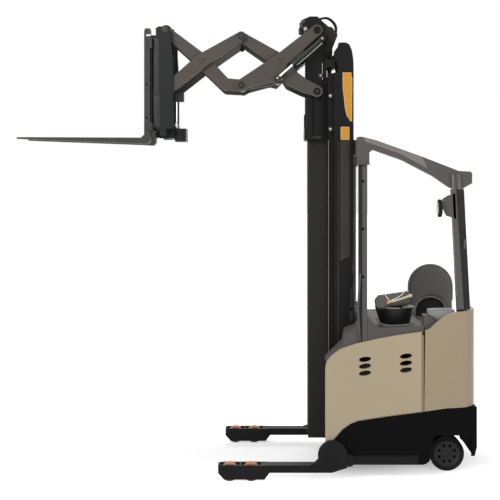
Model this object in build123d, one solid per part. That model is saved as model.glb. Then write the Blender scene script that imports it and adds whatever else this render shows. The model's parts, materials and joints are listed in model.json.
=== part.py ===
from build123d import *
from math import atan2, cos, degrees, hypot, radians, sin
import os

os.makedirs("parts", exist_ok=True)

# Reach truck, millimetres. Forks point to -X, the rear is +X, the truck's left is -Y.
# Z = 0 is the floor. Side pieces are drawn on the right, at +Y, and mirrored.
LEFT = -1
RIGHT = 1
SIDES = (("left", LEFT), ("right", RIGHT))

# Clearances
BORE_GAP = 0.05
SEAT_GAP = 0.3
RUN_GAP = 1.0
SIDE_GAP = 3.0

# Straddle legs and load wheels
LEG_OUTER_Y = 625.0
LEG_WIDTH = 115.0
LEG_INNER_Y = LEG_OUTER_Y - LEG_WIDTH
LEG_TIP_X = -164.0
TIP_BOX_END_X = 173.0
TIP_BOTTOM_Z = 17.5
TIP_NOSE_LENGTH = 46.0
TIP_NOSE_HEIGHT = 42.0
LEG_TOP_Z = 119.5
BEAM_BOTTOM_Z = 65.0
BEAM_START_X = 210.0
BEAM_RISE_X = 663.0
BEAM_END_X = 773.0
BEAM_END_BOTTOM_Z = 100.0
BEAM_INSET = 7.5
TIP_CHAMFER_X = 40.0
TIP_CHAMFER_Y = 20.0
LOAD_WHEEL_R = 65.0
LOAD_WHEEL_WIDTH = 64.0
LOAD_AXLE_R = 12.5
LOAD_AXLES = (("front", -80.0), ("rear", 76.0))
LOAD_WHEEL_Y = LEG_OUTER_Y - LEG_WIDTH / 2
POCKET_GAP = 6.0
GUSSET_X = 670.0
GUSSET_Z = 190.0
GUSSET_R = 108.0
GUSSET_RAMP = 185.0
HEEL_END_X = 833.0
HEEL_END_R = 45.0

# Chassis tray, walls, skirts and outer panels
CHASSIS_HALF_W = 560.0
PANEL_OUTER_Y = 585.0
PANEL_INNER_Y = CHASSIS_HALF_W + SEAT_GAP
PANEL_SKIN = PANEL_OUTER_Y - PANEL_INNER_Y
SKIRT_OUTER_Y = 574.0
TRAY_BOTTOM_Z = 108.0
TRAY_TOP_Z = 122.0
WALL = 20.0
WALL_TOP_Z = 840.0
WALL_REAR_X = 1588.0
TRAY_FRONT_X = 655.0
TRAY_MAST_X = 690.0
BULKHEAD_X = 858.0
BULKHEAD_THICK = 14.0
BATTERY_LENGTH = 430.0
BATTERY_HALF_W = 488.0
BATTERY_TOP_Z = 905.0
BATTERY_GAP = 8.0
BATTERY_REAR_GAP = 14.0
BATTERY_X = BULKHEAD_X + BULKHEAD_THICK + BATTERY_GAP
BAY_X = BATTERY_X + BATTERY_LENGTH + BATTERY_REAR_GAP
BAY_WALL_X = BAY_X + BULKHEAD_THICK
BAY_BULKHEAD_TOP_Z = 1070.0
WING_THICK = 20.0
WING_TOP_Z = 800.0
WING_INNER_Y = 245.0
BODY_REAR_X = 1722.0
BUMPER_REAR_X = 1724.0
ARCH_Z = 325.0
FLOOR_TOP_Z = 252.0
FLOOR_THICK = 14.0

# Drive unit on the left, caster on the right
DRIVE_X = 1544.0
DRIVE_Y = -270.0
DRIVE_WHEEL_R = 130.0
DRIVE_WHEEL_WIDTH = 110.0
DRIVE_DISC_R = 92.0
DRIVE_DISC_DEPTH = 16.0
DRIVE_HOLE_CIRCLE_R = 64.0
DRIVE_HOLE_R = 11.0
DRIVE_HOLES = 8
DRIVE_AXLE_R = 30.0
DRIVE_NECK_R = 88.0
DRIVE_CAP_R = 110.0
DRIVE_CAP_Z = 275.0
DRIVE_MOTOR_R = 82.0
DRIVE_MOTOR_TOP_Z = 760.0
DECK_Z = 400.0
DECK_THICK = 16.0
GEARCASE_WIDTH = 50.0
GEARCASE_HALF = 60.0
DRIVE_NECK_RISE = 20.0
DRIVE_AXLE_REACH = 30.0
DRIVE_HUB_WALL = 8.0
DRIVE_HOLE_DEPTH = 30.0
CASTER_X = 1560.0
CASTER_Y = 370.0
CASTER_TRAIL = 50.0
CASTER_WHEEL_R = 90.0
CASTER_WHEEL_WIDTH = 60.0
CASTER_AXLE_R = 12.0
CASTER_PIN_R = 20.0
CASTER_CHEEK = 10.0
CASTER_PLATE = 12.0
CASTER_TOP_GAP = 6.0
CASTER_PLATE_LIP = 15.0
CASTER_CHEEK_HALF = 32.0
CASTER_FOOT_HALF = 22.0
CASTER_FOOT_DROP = 20.0
CASTER_BOSS_HALF = 60.0

# Operator's bay
BAY_SIDE_Y = -58.0
BAY_SIDE_THICK = 16.0
BAY_COVER_Z = 1076.0
BAY_COVER_THICK = 14.0
# X and Z of the step that carries the arm pad
HUMP = [(1372, 1200), (1445, 1148), (1580, 1148)]
HUMP_Y = (-540.0, -440.0)
ARM_PAD_INSET = 8.0
ARM_PAD_H = 92.0
BACKREST_X = 1531.0
BACKREST_R = 191.0
BACKREST_ARC_Z = 1312.0
BACKREST_BOTTOM_Z = 1040.0
BACKREST_Y = 430.0
ARCH_X = 1531.0
ARCH_TOP_Z = 1220.0
ARCH_R = 128.0
BACKREST_THICK = 60.0
BRACKET_RAISE = 20.0

# Overhead guard
GUARD_OUTER_Y = 575.0
GUARD_INNER_Y = 520.0
POST_X = 861.0
POST_WIDTH = 64.0
POST_OUTER_Y = 556.0
GUARD_BARS = (930.0, 1040.0, 1150.0, 1260.0, 1370.0, 1480.0, 1570.0)
GUARD_BAR = 40.0
GUARD_BAR_THICK = 12.0
REAR_POST_OUTER_Y = 586.0
REAR_POST_INNER_Y = 516.0
STEM_OUTER_Y = 515.0
STEM_INNER_Y = 478.0
STEM_X = (1588.0, 1655.0)
STEM_TOP_Z = 1300.0
STEM_TIE_H = 50.0
SCREEN_THICK = 6.0
SCREEN_X = 890.0
SCREEN_Z = (1200.0, 2400.0)

# Mast rails: near and far X, inner and outer Y, bottom and top Z
RAIL_SKIN = 12.0
RAIL_WIDTH = 50.0
RAIL_STEP_Y = 55.0
INNER_RAIL_Y = 75.0
MIDDLE_RAIL_Y = INNER_RAIL_Y + RAIL_STEP_Y
OUTER_RAIL_Y = MIDDLE_RAIL_Y + RAIL_STEP_Y
INNER_RAIL = (505.0, 650.0, INNER_RAIL_Y, 200.0, 3120.0)
MIDDLE_RAIL = (654.0, 735.0, MIDDLE_RAIL_Y, 180.0, 3010.0)
OUTER_RAIL = (700.0, 849.0, OUTER_RAIL_Y, TRAY_TOP_Z, 3010.0)
CROSS_BAR_H = 90.0
CROSS_BAR_THICK = 20.0
CROSS_BAR_ZS = (1200.0, 2200.0)
FOOT_RAISE = 18.0
HEAD_BAR_H = 60.0
RAIL_ROLLER_PIN_R = 14.0
ROLLER_PLATE_HALF = 60.0
# X and Z of the caps on the outer rails and of the head plates on the inner rails
MAST_CAP = [
    (737, 3009), (737, 3062), (721, 3093), (700, 3119), (701, 3169), (730, 3208), (734, 3233), (740, 3238),
    (791, 3238), (816, 3223), (835, 3182), (846, 3119), (849, 3060), (849, 3009),
]
MAST_HEAD = [
    (590, 3119), (598, 3424), (612, 3420), (725, 3324), (735, 3312), (690, 3196), (645, 3151), (645, 3119),
]
HEAD_Y = 108.0
HEAD_THICK = 12.0
HEAD_SHEAVE = (668.0, 3334.0)
HEAD_SHEAVE_R = 44.0
HEAD_SHAFT_R = 14.0
STAGE_ROLLER_Z = 330.0
INNER_ROLLER_Z = 310.0
FREE_LIFT_X = 676.0
FREE_LIFT_Y = 84.0
FREE_LIFT_R = 21.0
FREE_LIFT_ROD_R = 13.0
FREE_LIFT_BARREL_TOP_Z = 1700.0
FREE_LIFT_TOP_Z = 3150.0
FREE_LIFT_STROKE = 1150.0
LIFT_FOOT_H = 20.0
SHEAVE_R = 20.0
SHEAVE_PIN_R = 9.0
HEAD_BLOCK_H = 12.0
HEAD_BLOCK_HALF = 18.0
HEAD_CHEEK = 8.0
LIFT_X = 788.0
LIFT_Y = 130.0
LIFT_R = 30.0
LIFT_ROD_R = 20.0
LIFT_BARREL_TOP_Z = 2850.0
LIFT_ARM_Z = 2945.0
LIFT_ARM_H = 30.0

# Pantograph: long halves reach the carriages' pivots, short halves the joints between the scissors
PIVOT_REAR_X = 571.0
PIVOT_TOP_Z = 3332.0
LONG_HALF = 362.9
LONG_ANGLE = 39.75
SHORT_HALF = 352.7
SHORT_ANGLE = 32.0
ARM_TOP_R = 35.0
ARM_LOW_R = 44.0
ARM_CROSS_R = 54.0
ARM_END_R = 42.0
# Bends of the inner arms beyond their crossings: X, Z and half width
FRONT_BEND = (-131.0, 2922.0, 47.0)
REAR_BENDS = ((381.0, 2966.0, 62.0), (472.0, 2912.0, 52.0))
# Web between the outer rear arm and the reach rod's bracket
ROD_WEB = [
    (40, 2890), (210, 2935), (262, 2922), (315, 2975), (345, 3080), (230, 3110), (60, 2970), (-10, 2960),
]
ARM_THICK = 24.0
ARM_SPACE = 4.0
INNER_ARM_Y = 188.0
OUTER_ARM_Y = INNER_ARM_Y + ARM_THICK + ARM_SPACE
INNER_FACE_Y = INNER_ARM_Y + ARM_THICK
OUTER_FACE_Y = OUTER_ARM_Y + ARM_THICK
PIVOT_PIN_R = 20.0
PIN_HOLE_R = PIVOT_PIN_R + SEAT_GAP
OPEN_HOLE_R = PIVOT_PIN_R + 1.5
PIN_HEAD_R = 27.0
PIN_HEAD = 8.0
ROLLER_R = 38.0
ROLLER_WIDTH = 20.0
CROSS_TUBE_R = 26.0
RIB_HALF_Y = 12.0
RIB_WIDTH = 44.0

# Reach cylinders
CYL_BASE = (608.0, 3262.0)
CYL_EYE = (269.0, 2963.0)
CYL_Y = 34.0
CYL_R = 23.0
CYL_BORE_R = 19.0
CYL_ROD_R = 13.0
CYL_BARREL = 300.0
CYL_ROD_START = 150.0
CYL_PIN_R = 12.0
CYL_EYE_WIDTH = 18.0
CYL_EYE_GAP = 7.0
CYL_EYE_WALL = 8.0
CYL_GLAND = 12.0
CYL_PISTON = 25.0

# Reach carriage and fork carrier
WEB_Y = 150.0
WEB_THICK = 10.0
LIP_Y = INNER_ARM_Y - SIDE_GAP
CARRIAGE_FRONT_X = PIVOT_REAR_X - 82.0
CARRIAGE_REAR_X = PIVOT_REAR_X + 47.0
CARRIAGE_BOTTOM_Z = 2498.0
CARRIAGE_HEAD_RISE = 116.0
CARRIAGE_TOP_Z = PIVOT_TOP_Z + CARRIAGE_HEAD_RISE
CHANNEL_TOP_Z = 2960.0
CROSS_PLATE_THICK = 22.0
CROSS_PLATE_H = 90.0
HEAD_CROSS_H = 118.0
HEAD_CROSS_DROP = 20.0
HEAD_CROSS_Z = CARRIAGE_TOP_Z - HEAD_CROSS_DROP - HEAD_CROSS_H
HEAD_LUG_H = 110.0
ROLLER_PLATE_Y = 60.0
ROLLER_PLATE_THICK = 12.0
ROLLER_PLATE_REAR_X = CARRIAGE_REAR_X + 14.0
ROLLER_PLATE_BELOW = 60.0
ROLLER_PLATE_ABOVE = 100.0
RAIL_ROLLER_ZS = (2600.0, 3050.0)
CARRIER_FRONT_X = -636.0
CARRIER_DEPTH = 109.0
CARRIER_REAR_X = CARRIER_FRONT_X + CARRIER_DEPTH
CARRIER_BOTTOM_Z = 2510.0
CARRIER_HEAD_RISE = 18.0
CARRIER_TOP_Z = PIVOT_TOP_Z + CARRIER_HEAD_RISE
CARRIER_TIE_H = 46.0
CARRIER_TIE_DEPTH = 50.0
LOW_TIE = (-600.0, 2543.0)
LOW_TIE_R = 13.0
COVER_PLATE_Y = 246.0
COVER_PLATE_THICK = 12.0
COVER_FLANGE = 20.0
# X and Z of the plates outside the arms' ends
COVER_PLATE = [
    (-653, 3341), (-640, 3357), (-560, 3357), (-545, 3341), (-524, 2986), (-524, 2600), (-535, 2580), (-575, 2577),
    (-575, 2530), (-625, 2530), (-625, 2577), (-655, 2582), (-668, 2620), (-677, 2830), (-664, 3010),
]
BOSS_R = 46.0
VALVE_REAR_X = CARRIER_REAR_X + 87.0
VALVE_HALF_W = 80.0
VALVE_DROP = 22.0
VALVE_H = 102.0
MANIFOLD_DEPTH = 77.0
MANIFOLD_Y = (-182.0, -120.0)
MANIFOLD_Z = (2790.0, 2860.0)

# Tilt frame, side-shift frame and forks
TILT_PIVOT = (-640.0, 3290.0)
TILT_PIN_R = 12.0
TILT_LUG_Y = 98.0
TILT_LUG_THICK = 24.0
TILT_LUG_R = 24.0
TILT_EYE = (-666.0, 2535.0)
TILT_EYE_R = 16.0
TILT_EYE_PIN_R = 7.0
TILT_EYE_HALF_Y = 10.0
# Height that the eye's pin gains as the frame tilts
TILT_EYE_RISE = 3.5
TILT_ROD_R = 10.0
TILT_BARREL_X = -624.0
TILT_BARREL_END_X = -530.0
TILT_ROD_END_X = -566.0
TILT_BARREL_R = 26.0
STRAP_Y = (60.0, 145.0)
FRAME_BACK_X = -664.0
FRAME_THICK = 18.0
FRAME_HALF_W = 230.0
SHIFT_THICK = 20.0
SHIFT_HALF_W = 300.0
FORK_THICK = 44.0
FORK_WIDTH = 102.0
FORK_Y = 190.0
FORK_BOTTOM_Z = 2466.0
FORK_TIP_X = -1724.0
FORK_HEEL_TOP_Z = 2513.0
FORK_HEEL_CORNER = 24.0
FORK_TIP_TOP_Z = 2517.0
FORK_TIP_THICK = 12.0
UPPER_BAR_Z = (3190.0, 3270.0)
LOWER_BAR_Z = (2565.0, 2625.0)
FORK_ABOVE_BAR = 75.0
FORK_TOP_Z = UPPER_BAR_Z[1] + FORK_ABOVE_BAR


def block(x0, x1, y0, y1, z0, z1):
    size = Box(x1 - x0, y1 - y0, z1 - z0)
    return Pos((x0 + x1) / 2, (y0 + y1) / 2, (z0 + z1) / 2) * size


def side_plate(points, y0, y1):
    """Outline in X and Z, from y0 to y1."""
    plane = Plane(origin=(0, y1, 0), x_dir=(1, 0, 0), z_dir=(0, -1, 0))
    return extrude(plane * make_face(Polyline(*points, close=True)), y1 - y0)


def plan_plate(points, z0, z1):
    """Outline in X and Y, from z0 to z1."""
    plane = Plane(origin=(0, 0, z0))
    return extrude(plane * make_face(Polyline(*points, close=True)), z1 - z0)


def rod_y(x, z, r, y0, y1):
    return Pos(x, (y0 + y1) / 2, z) * Rot(90, 0, 0) * Cylinder(r, y1 - y0)


def rod_z(x, y, r, z0, z1):
    return Pos(x, y, (z0 + z1) / 2) * Cylinder(r, z1 - z0)


def rod_x(y, z, r, x0, x1):
    return Pos((x0 + x1) / 2, y, z) * Rot(0, 90, 0) * Cylinder(r, x1 - x0)


def other_side(shape):
    return mirror(shape, about=Plane.XZ)


def both_sides(shape):
    return shape + other_side(shape)


def on_side(shape, side):
    return shape if side == RIGHT else other_side(shape)


def save(name, shape):
    export_step(shape, "parts/" + name + ".step")


# Straddle legs
def leg():
    outline = [
        (LEG_TIP_X, TIP_BOTTOM_Z + TIP_NOSE_HEIGHT),
        (LEG_TIP_X + TIP_NOSE_LENGTH, TIP_BOTTOM_Z),
        (TIP_BOX_END_X, TIP_BOTTOM_Z),
        (BEAM_START_X, BEAM_BOTTOM_Z),
        (BEAM_RISE_X, BEAM_BOTTOM_Z),
        (BEAM_END_X, BEAM_END_BOTTOM_Z),
        (BEAM_END_X, LEG_TOP_Z),
        (LEG_TIP_X, LEG_TOP_Z),
    ]
    plan = [
        (LEG_TIP_X, LEG_INNER_Y + TIP_CHAMFER_Y),
        (LEG_TIP_X + TIP_CHAMFER_X, LEG_INNER_Y),
        (TIP_BOX_END_X, LEG_INNER_Y),
        (BEAM_START_X, LEG_INNER_Y + BEAM_INSET),
        (BEAM_END_X, LEG_INNER_Y + BEAM_INSET),
        (BEAM_END_X, LEG_OUTER_Y - BEAM_INSET),
        (BEAM_START_X, LEG_OUTER_Y - BEAM_INSET),
        (TIP_BOX_END_X, LEG_OUTER_Y),
        (LEG_TIP_X + TIP_CHAMFER_X, LEG_OUTER_Y),
        (LEG_TIP_X, LEG_OUTER_Y - TIP_CHAMFER_Y),
    ]
    body = side_plate(outline, LEG_INNER_Y, LEG_OUTER_Y) & plan_plate(plan, 0, LEG_TOP_Z + 1)
    half = LOAD_WHEEL_WIDTH / 2 + SIDE_GAP
    reach = LOAD_WHEEL_R + POCKET_GAP
    for _, x in LOAD_AXLES:
        body -= block(x - reach, x + reach, LOAD_WHEEL_Y - half, LOAD_WHEEL_Y + half, 0, LEG_TOP_Z + 1)
    for _, x in LOAD_AXLES:
        body += rod_y(x, LOAD_WHEEL_R, LOAD_AXLE_R, LEG_INNER_Y + 2, LEG_OUTER_Y - 2)
    return body + gusset()


def gusset():
    """Round fender at the leg's heel, outside the panels."""
    y0 = PANEL_OUTER_Y + SIDE_GAP
    foot_z = LEG_TOP_Z - 5
    ramp = [
        (GUSSET_X - GUSSET_RAMP, foot_z),
        (GUSSET_X - GUSSET_RAMP, LEG_TOP_Z),
        (GUSSET_X - GUSSET_R - 30, LEG_TOP_Z + 14),
        (GUSSET_X - GUSSET_R, LEG_TOP_Z + 42),
        (GUSSET_X - GUSSET_R * 0.8, GUSSET_Z + GUSSET_R * 0.6),
        (GUSSET_X, GUSSET_Z),
        (GUSSET_X, foot_z),
    ]
    disc = rod_y(GUSSET_X, GUSSET_Z, GUSSET_R, y0, LEG_OUTER_Y)
    disc -= block(GUSSET_X - GUSSET_R - 1, GUSSET_X + GUSSET_R + 1, 0, LEG_OUTER_Y + 1, 0, foot_z)
    end = rod_y(HEEL_END_X - HEEL_END_R, TRAY_BOTTOM_Z + HEEL_END_R, HEEL_END_R, y0, LEG_OUTER_Y - BEAM_INSET)
    end += block(GUSSET_X, HEEL_END_X - HEEL_END_R, y0, LEG_OUTER_Y - BEAM_INSET, foot_z, TRAY_BOTTOM_Z + 2 * HEEL_END_R)
    tie = block(BEAM_END_X - 60, HEEL_END_X - HEEL_END_R, CHASSIS_HALF_W - 30, y0 + 1, TRAY_BOTTOM_Z - 6, LEG_TOP_Z)
    return disc + side_plate(ramp, y0, LEG_OUTER_Y) + end + tie


def load_wheel(x):
    half = LOAD_WHEEL_WIDTH / 2
    wheel = rod_y(x, LOAD_WHEEL_R, LOAD_WHEEL_R, LOAD_WHEEL_Y - half, LOAD_WHEEL_Y + half)
    return wheel - rod_y(x, LOAD_WHEEL_R, LOAD_AXLE_R + BORE_GAP, LEG_INNER_Y, LEG_OUTER_Y)


for side_name, side in SIDES:
    save("leg_" + side_name, on_side(leg(), side))
    for place, axle_x in LOAD_AXLES:
        save("load_wheel_" + side_name + "_" + place, on_side(load_wheel(axle_x), side))


# Chassis: tray, side walls, bulkheads before and behind the battery, wings beside the mast
def chassis():
    half = CHASSIS_HALF_W
    shape = block(TRAY_FRONT_X, BAY_WALL_X, -half, half, TRAY_BOTTOM_Z, TRAY_TOP_Z)
    wall = block(TRAY_FRONT_X, WALL_REAR_X, half - WALL, half, ARCH_Z, WALL_TOP_Z)
    wall += block(TRAY_FRONT_X, BAY_WALL_X, half - WALL, half, TRAY_BOTTOM_Z, ARCH_Z + 1)
    wall += block(TRAY_FRONT_X - WING_THICK, TRAY_FRONT_X, WING_INNER_Y, half, TRAY_BOTTOM_Z, WING_TOP_Z)
    shape += both_sides(wall)
    shape += block(BULKHEAD_X, BULKHEAD_X + BULKHEAD_THICK, -half, half, TRAY_BOTTOM_Z, WALL_TOP_Z)
    shape += block(BAY_X, BAY_WALL_X, -half, half, TRAY_BOTTOM_Z, BAY_BULKHEAD_TOP_Z)
    shape -= block(TRAY_FRONT_X - WING_THICK - 1, TRAY_MAST_X, -WING_INNER_Y, WING_INNER_Y, 0, TRAY_TOP_Z + 1)
    heel_y = LEG_INNER_Y + BEAM_INSET - SEAT_GAP
    heel_top = LEG_TOP_Z + SEAT_GAP
    heel_x = HEEL_END_X - HEEL_END_R + SEAT_GAP
    shape -= both_sides(block(TRAY_FRONT_X - WING_THICK - 1, heel_x, heel_y, half + 1, 0, heel_top))
    return shape


def drive_deck():
    deck = block(BAY_WALL_X, BODY_REAR_X - PANEL_SKIN, -CHASSIS_HALF_W + WALL, BAY_SIDE_Y, DECK_Z, DECK_Z + DECK_THICK)
    deck -= block(WALL_REAR_X, BODY_REAR_X, -CHASSIS_HALF_W, -STEM_OUTER_Y, DECK_Z - 1, DECK_Z + DECK_THICK + 1)
    return deck - rod_z(DRIVE_X, DRIVE_Y, DRIVE_NECK_R + SEAT_GAP, DECK_Z - 1, DECK_Z + DECK_THICK + 1)


save("chassis_frame", chassis())
save("drive_deck", drive_deck())
battery = block(BATTERY_X, BATTERY_X + BATTERY_LENGTH, -BATTERY_HALF_W, BATTERY_HALF_W, TRAY_TOP_Z, BATTERY_TOP_Z)
save("battery_block", battery)


# Drive unit: the head turns about Z, the wheel about its axle
def drive_head():
    inner = DRIVE_Y + DRIVE_WHEEL_WIDTH / 2 + SIDE_GAP
    outer = inner + GEARCASE_WIDTH
    half = GEARCASE_HALF
    case = block(DRIVE_X - half, DRIVE_X + half, inner, outer, DRIVE_WHEEL_R, DRIVE_CAP_Z + 10)
    case += rod_y(DRIVE_X, DRIVE_WHEEL_R, half, inner, outer)
    cap = rod_z(DRIVE_X, DRIVE_Y, DRIVE_CAP_R, DRIVE_CAP_Z, DECK_Z - SEAT_GAP)
    cap = cap + block(DRIVE_X - half, DRIVE_X + half, DRIVE_Y, outer, DRIVE_CAP_Z, DRIVE_CAP_Z + half)
    motor_z = DECK_Z + DECK_THICK + DRIVE_NECK_RISE
    neck = rod_z(DRIVE_X, DRIVE_Y, DRIVE_NECK_R, DECK_Z - 1, motor_z)
    motor = rod_z(DRIVE_X, DRIVE_Y, DRIVE_MOTOR_R, motor_z - 1, DRIVE_MOTOR_TOP_Z)
    axle = rod_y(DRIVE_X, DRIVE_WHEEL_R, DRIVE_AXLE_R, DRIVE_Y - DRIVE_AXLE_REACH, inner + SIDE_GAP)
    return case + cap + neck + motor + axle


def drive_wheel():
    face = DRIVE_Y - DRIVE_WHEEL_WIDTH / 2
    back = DRIVE_Y + DRIVE_WHEEL_WIDTH / 2
    disc = face + DRIVE_DISC_DEPTH
    wheel = rod_y(DRIVE_X, DRIVE_WHEEL_R, DRIVE_WHEEL_R, face, back)
    wheel -= rod_y(DRIVE_X, DRIVE_WHEEL_R, DRIVE_DISC_R, face - 1, disc)
    wheel += rod_y(DRIVE_X, DRIVE_WHEEL_R, DRIVE_AXLE_R + DRIVE_HUB_WALL, face + 4, disc + 1)
    wheel -= rod_y(DRIVE_X, DRIVE_WHEEL_R, DRIVE_AXLE_R + BORE_GAP, DRIVE_Y - DRIVE_AXLE_REACH - 1, back + 1)
    for turn in range(DRIVE_HOLES):
        angle = radians(360 / DRIVE_HOLES * turn)
        x = DRIVE_X + DRIVE_HOLE_CIRCLE_R * cos(angle)
        z = DRIVE_WHEEL_R + DRIVE_HOLE_CIRCLE_R * sin(angle)
        wheel -= rod_y(x, z, DRIVE_HOLE_R, disc - 1, disc + DRIVE_HOLE_DEPTH)
    return wheel


save("drive_head", drive_head())
save("drive_wheel", drive_wheel())


# Caster: fork and swivel pin, wheel behind the pin
CASTER_AXLE_X = CASTER_X + CASTER_TRAIL
CASTER_PLATE_Z = 2 * CASTER_WHEEL_R + CASTER_TOP_GAP
BOSS_Z = CASTER_PLATE_Z + CASTER_PLATE + SEAT_GAP


def caster_fork():
    inner = CASTER_WHEEL_WIDTH / 2 + SIDE_GAP
    outer = inner + CASTER_CHEEK
    top = CASTER_PLATE_Z + CASTER_PLATE
    front = CASTER_X - CASTER_CHEEK_HALF
    back = CASTER_AXLE_X + CASTER_CHEEK_HALF
    lip = CASTER_PLATE_LIP
    shape = block(front - lip, back + lip / 2, CASTER_Y - outer, CASTER_Y + outer, CASTER_PLATE_Z, top)
    cheek = [
        (front, CASTER_PLATE_Z + 1),
        (CASTER_AXLE_X - CASTER_FOOT_HALF, CASTER_WHEEL_R - CASTER_FOOT_DROP),
        (CASTER_AXLE_X + CASTER_FOOT_HALF, CASTER_WHEEL_R - CASTER_FOOT_DROP),
        (back, CASTER_PLATE_Z + 1),
    ]
    shape += side_plate(cheek, CASTER_Y + inner, CASTER_Y + outer)
    shape += side_plate(cheek, CASTER_Y - outer, CASTER_Y - inner)
    shape += rod_y(CASTER_AXLE_X, CASTER_WHEEL_R, CASTER_AXLE_R, CASTER_Y - outer, CASTER_Y + outer)
    return shape + rod_z(CASTER_X, CASTER_Y, CASTER_PIN_R, top - 1, FLOOR_TOP_Z - FLOOR_THICK - RUN_GAP)


def caster_wheel():
    half = CASTER_WHEEL_WIDTH / 2
    wheel = rod_y(CASTER_AXLE_X, CASTER_WHEEL_R, CASTER_WHEEL_R, CASTER_Y - half, CASTER_Y + half)
    bore_r = CASTER_AXLE_R + BORE_GAP
    return wheel - rod_y(CASTER_AXLE_X, CASTER_WHEEL_R, bore_r, CASTER_Y - half - 1, CASTER_Y + half + 1)


save("caster_fork", caster_fork())
save("caster_wheel", caster_wheel())


# Rear body: where its side panels start, the corner's radius, and heights below and above it
REAR_PANEL_X = 1338.0
REAR_CORNER_R = 130.0
BODY_LOW_Z = 400.0
BODY_HIGH_Z = 1300.0


def rounded_corner(rear_x, outer_y, r):
    shape = block(REAR_PANEL_X - 1, rear_x, 0, outer_y, BODY_LOW_Z, BODY_HIGH_Z)
    edge = shape.edges().filter_by(Axis.Z).group_by(Axis.X)[-1].sort_by(Axis.Y)[-1]
    return fillet(edge, r)


# Operator's floor with the caster's boss, and the wall and lid of the drive bay
def operator_floor():
    under = FLOOR_TOP_Z - FLOOR_THICK
    floor_left = BAY_SIDE_Y + BAY_SIDE_THICK
    floor = block(BAY_WALL_X, BODY_REAR_X - PANEL_SKIN, floor_left, CHASSIS_HALF_W - WALL, under, FLOOR_TOP_Z)
    half = CASTER_BOSS_HALF
    boss = block(CASTER_X - half, CASTER_X + half, CASTER_Y - half, CASTER_Y + half, BOSS_Z, under)
    return floor + boss - rod_z(CASTER_X, CASTER_Y, CASTER_PIN_R + BORE_GAP, BOSS_Z - 1, under)


def bay_cover():
    """Lid of the drive bay, with the step that carries the arm pad."""
    rear = BODY_REAR_X - PANEL_SKIN
    top = BAY_COVER_Z + BAY_COVER_THICK
    shape = block(BAY_WALL_X, rear, -CHASSIS_HALF_W + WALL, BAY_SIDE_Y + BAY_SIDE_THICK, BAY_COVER_Z, top)
    corner = block(WALL_REAR_X, rear + 1, -CHASSIS_HALF_W, -STEM_INNER_Y + 1, BAY_COVER_Z - 1, top + 1)
    hump = [(BAY_WALL_X, top - 1), (BAY_WALL_X, HUMP[0][1]), *HUMP, (HUMP[-1][0], top - 1)]
    shape = shape - corner + side_plate(hump, *HUMP_Y)
    return shape & other_side(rounded_corner(rear, PANEL_INNER_Y, REAR_CORNER_R - PANEL_SKIN))


save("operator_floor", operator_floor())
wall_rear_x = BODY_REAR_X - PANEL_SKIN
save("bay_wall", block(BAY_WALL_X, wall_rear_x, BAY_SIDE_Y, BAY_SIDE_Y + BAY_SIDE_THICK, FLOOR_TOP_Z - FLOOR_THICK, BAY_COVER_Z))
save("bay_cover", bay_cover())

# Side panels: X and Z of the outer skin's outline
FRONT_PANEL = [
    (617, 803), (624, 857), (654, 901), (729, 959), (841, 996), (1025, 1037), (1175, 1063), (1324, 1083),
    (1324, 497), (1073, 465), (857, 432), (798, 409), (738, 365), (694, 312), (675, 287), (617, 280),
]
REAR_PANEL = [
    (1345, 1093), (1382, 1108), (1420, 1145), (1472, 1190), (1532, 1219), (1621, 1233), (BODY_REAR_X, 1242),
    (BODY_REAR_X, 537), (1693, 535), (1500, 526), (1338, 502),
]
PANEL_EDGE_R = 8.0
# Vent slots: X and Z of each centre
VENTS = [(906, 882.6), (906, 833), (906, 782), (1205, 906), (1205, 855), (1205, 805)]
VENT_LENGTH = 89.0
VENT_HEIGHT = 38.0
VENT_TILT = 8.0
SKIRT_DROP = 4.0
SKIRT_BOTTOM_Z = 180.0
SKIRT_FRONT_X = 704.0
SKIRT_REAR_X = BODY_REAR_X - PANEL_SKIN - SEAT_GAP
SKIRT_ARCH_X = (1333.0, 1375.0, 1672.0)
TAIL_X = 1688.0
TAIL_STEP = 6.0
TAIL_TIP_Z = 176.0
TAIL_FACE_Z = 245.0
BUMPER_LIP = 10.0
BUMPER_TOP_Z = 534.0
# Y where the rear skins end beside the operator's entry
REAR_SKIN_ENDS = {LEFT: 50.0, RIGHT: 500.0}


def vent():
    """Oval opening along Y."""
    oval = Plane.XZ * Ellipse(VENT_LENGTH / 2, VENT_HEIGHT / 2)
    return extrude(oval, 2 * PANEL_SKIN, both=True)


def front_panel():
    panel = side_plate(FRONT_PANEL, PANEL_INNER_Y, PANEL_OUTER_Y)
    outer_face = panel.faces().sort_by(Axis.Y)[-1]
    panel = chamfer(outer_face.edges(), PANEL_EDGE_R)
    for x, z in VENTS:
        panel -= Pos(x, PANEL_OUTER_Y, z) * Rot(0, -VENT_TILT, 0) * vent()
    return panel


def rear_panel(inner_end_y):
    skin = rounded_corner(BODY_REAR_X, PANEL_OUTER_Y, REAR_CORNER_R)
    skin -= rounded_corner(BODY_REAR_X - PANEL_SKIN, PANEL_INNER_Y, REAR_CORNER_R - PANEL_SKIN)
    return skin & side_plate(REAR_PANEL, inner_end_y, PANEL_OUTER_Y)


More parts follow.
